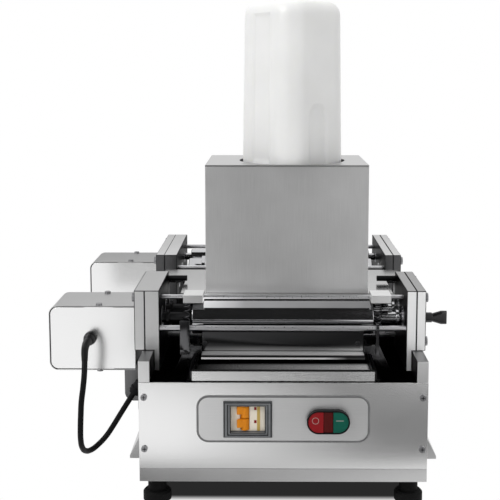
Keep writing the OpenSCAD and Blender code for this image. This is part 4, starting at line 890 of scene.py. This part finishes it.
def seen(tree):
    """1 for camera, mirror and glass rays, 0 for the rays that carry soft light."""
    path = add(tree, "ShaderNodeLightPath")
    pair = add(tree, "ShaderNodeMath", {"operation": "MAXIMUM"}, i0=path.outputs["Is Camera Ray"],
               i1=path.outputs["Is Glossy Ray"])
    return add(tree, "ShaderNodeMath", {"operation": "MAXIMUM"}, i0=pair.outputs[0],
               i1=path.outputs["Is Transmission Ray"]).outputs[0]


UNDER_MM = {"left": -180, "right": 180, "front": 27, "back": 470}
UNDER_SOFT_MM = 12
UNDER_TONE = 0.022
AMBIENT = 0.5
floor_paint, tree, shader = new_finish("floor_matt_white", "#e6e6e6", 0.9)
axes = add(tree, "ShaderNodeSeparateXYZ", None, Vector=add(tree, "ShaderNodeTexCoord").outputs["Object"])
shade = None
for axis, edge, sign in (("X", "left", -1), ("X", "right", 1), ("Y", "front", -1), ("Y", "back", 1)):
    border = spot(UNDER_MM[edge], UNDER_MM[edge], 0)["XY".index(axis)]
    open_floor = add(tree, "ShaderNodeMapRange", {"interpolation_type": "SMOOTHSTEP"},
                     Value=axes.outputs[axis], From_Min=border - UNDER_SOFT_MM * MM,
                     From_Max=border + UNDER_SOFT_MM * MM, To_Min=(1 - sign) / 2, To_Max=(1 + sign) / 2)
    if shade is None:
        shade = open_floor.outputs["Result"]
    else:
        shade = add(tree, "ShaderNodeMath", {"operation": "MAXIMUM"}, i0=shade,
                    i1=open_floor.outputs["Result"]).outputs[0]
shade = spread(tree, shade, UNDER_TONE, 1.0)
glow = add(tree, "ShaderNodeEmission", None, Color=(1, 1, 1, 1), Strength=shade)
paint = add(tree, "ShaderNodeMixShader", None, Fac=seen(tree))
tree.links.new(shader.outputs["BSDF"], paint.inputs[1])
tree.links.new(glow.outputs["Emission"], paint.inputs[2])
tree.links.new(paint.outputs["Shader"], tree.nodes["Material Output"].inputs["Surface"])
floor_mesh.materials.append(floor_paint)

world = bpy.data.worlds.new("studio")
bpy.context.scene.world = world
world.use_nodes = True
tree = world.node_tree
backdrop = tree.nodes["Background"]
backdrop.inputs["Color"].default_value = (1, 1, 1, 1)
tree.links.new(spread(tree, seen(tree), AMBIENT, 1.0), backdrop.inputs["Strength"])


def lamp(name, place, target, size, power):
    """A large soft lamp aimed at a point; lengths are in metres and power is in watts."""
    light = bpy.data.lights.new(name, "AREA")
    light.shape = "RECTANGLE"
    light.size, light.size_y = size
    light.energy = power
    piece = bpy.data.objects.new(name, light)
    piece.location = place
    piece.rotation_euler = (Vector(target) - Vector(place)).to_track_quat("-Z", "Y").to_euler()
    bpy.context.scene.collection.objects.link(piece)
    return piece


lamp("key", (-1.6, -1.6, 1.9), (0, 0, 0.3), (1.2, 1.2), 34)
lamp("fill", (1.9, -1.2, 1.2), (0, 0, 0.3), (1.4, 1.4), 9)
top_lamp = lamp("top", (0.0, 0.3, 2.4), (0, 0, 0.2), (1.6, 1.6), 18)
top_lamp.visible_glossy = False
print(len(bpy.data.lights), "lamps")

# %% [markdown]
# Polished metal shows what stands round it. A studio puts dark and grey cards there, so that chrome gets
# black bands and a flat panel a soft gradient. Two pale cards lie just over the front roller and draw the
# bright band along its top. Cards are seen by mirror rays only, and they neither shade the machine nor
# show in the picture.

# %% Reflection cards
def card(name, corners, shades):
    """A flat four-cornered card that only reflections see, shaded from its left side to its right."""
    mesh = bpy.data.meshes.new(name)
    mesh.from_pydata(corners, [], [(0, 1, 2, 3)])
    layer = mesh.uv_layers.new(name="across")
    for loop, place in zip(layer.data, [(0, 0), (1, 0), (1, 1), (0, 1)]):
        loop.uv = place
    material = bpy.data.materials.new(name)
    material.use_nodes = True
    tree = material.node_tree
    tree.nodes.remove(tree.nodes["Principled BSDF"])
    across = add(tree, "ShaderNodeSeparateXYZ", None, Vector=add(tree, "ShaderNodeTexCoord").outputs["UV"])
    tone = spread(tree, across.outputs["X"], *shades)
    glow = add(tree, "ShaderNodeEmission", None, Color=(1, 1, 1, 1), Strength=tone)
    tree.links.new(glow.outputs["Emission"], tree.nodes["Material Output"].inputs["Surface"])
    mesh.materials.append(material)
    piece = bpy.data.objects.new(name, mesh)
    bpy.context.scene.collection.objects.link(piece)
    piece.visible_camera = False
    piece.visible_diffuse = False
    piece.visible_transmission = False
    piece.visible_shadow = False
    return piece


def wall(x, y, low, high):
    """Corners, in metres, of an upright card in front of the machine or behind it."""
    return [(-x, y, low), (x, y, low), (x, y, high), (-x, y, high)]


def flat(left, right, front, back, z):
    """Corners, in metres, of a level card."""
    return [(left, front, z), (right, front, z), (right, back, z), (left, back, z)]


card("dark_card_behind_camera", wall(0.55, -2.4, 0.05, 2.6), (0.02, 0.02))
card("dark_card_overhead", flat(-0.55, 0.55, -2.4, -0.26, 2.3), (0.02, 0.02))
card("grey_card_over_the_rollers", flat(-0.1, 0.55, -0.26, -0.05, 2.3), (1.0, 0.3))
ROLLER_CARD_MM = {"front": 73, "back": 96, "z": 261}
for name, left, right, shades in (("left", -118, -52, (1.4, 0.55)), ("right", -52, 124, (0.55, 0.34))):
    low = spot(left, ROLLER_CARD_MM["front"], ROLLER_CARD_MM["z"])
    high = spot(right, ROLLER_CARD_MM["back"], ROLLER_CARD_MM["z"])
    card("pale_card_on_the_roller_" + name, flat(low.x, high.x, low.y, high.y, low.z), shades)
card("dark_strip_on_bench", flat(-0.25, 0.25, -2.4, -0.86, 0.002), (0.06, 0.06))
card("grey_card_on_bench", flat(-0.12, 0.2, -0.86, -0.41, 0.002), (1.0, 0.17))
card("dark_card_on_bench", flat(0.2, 0.75, -0.86, -0.41, 0.002), (0.17, 0.17))
card("grey_card_behind_machine", wall(0.5, 0.5, 0.02, 0.4), (0.5, 0.8))
card("grey_card_at_the_feet", flat(-0.2, 0.32, -0.41, -0.29, 0.002), (0.2, 1.0))
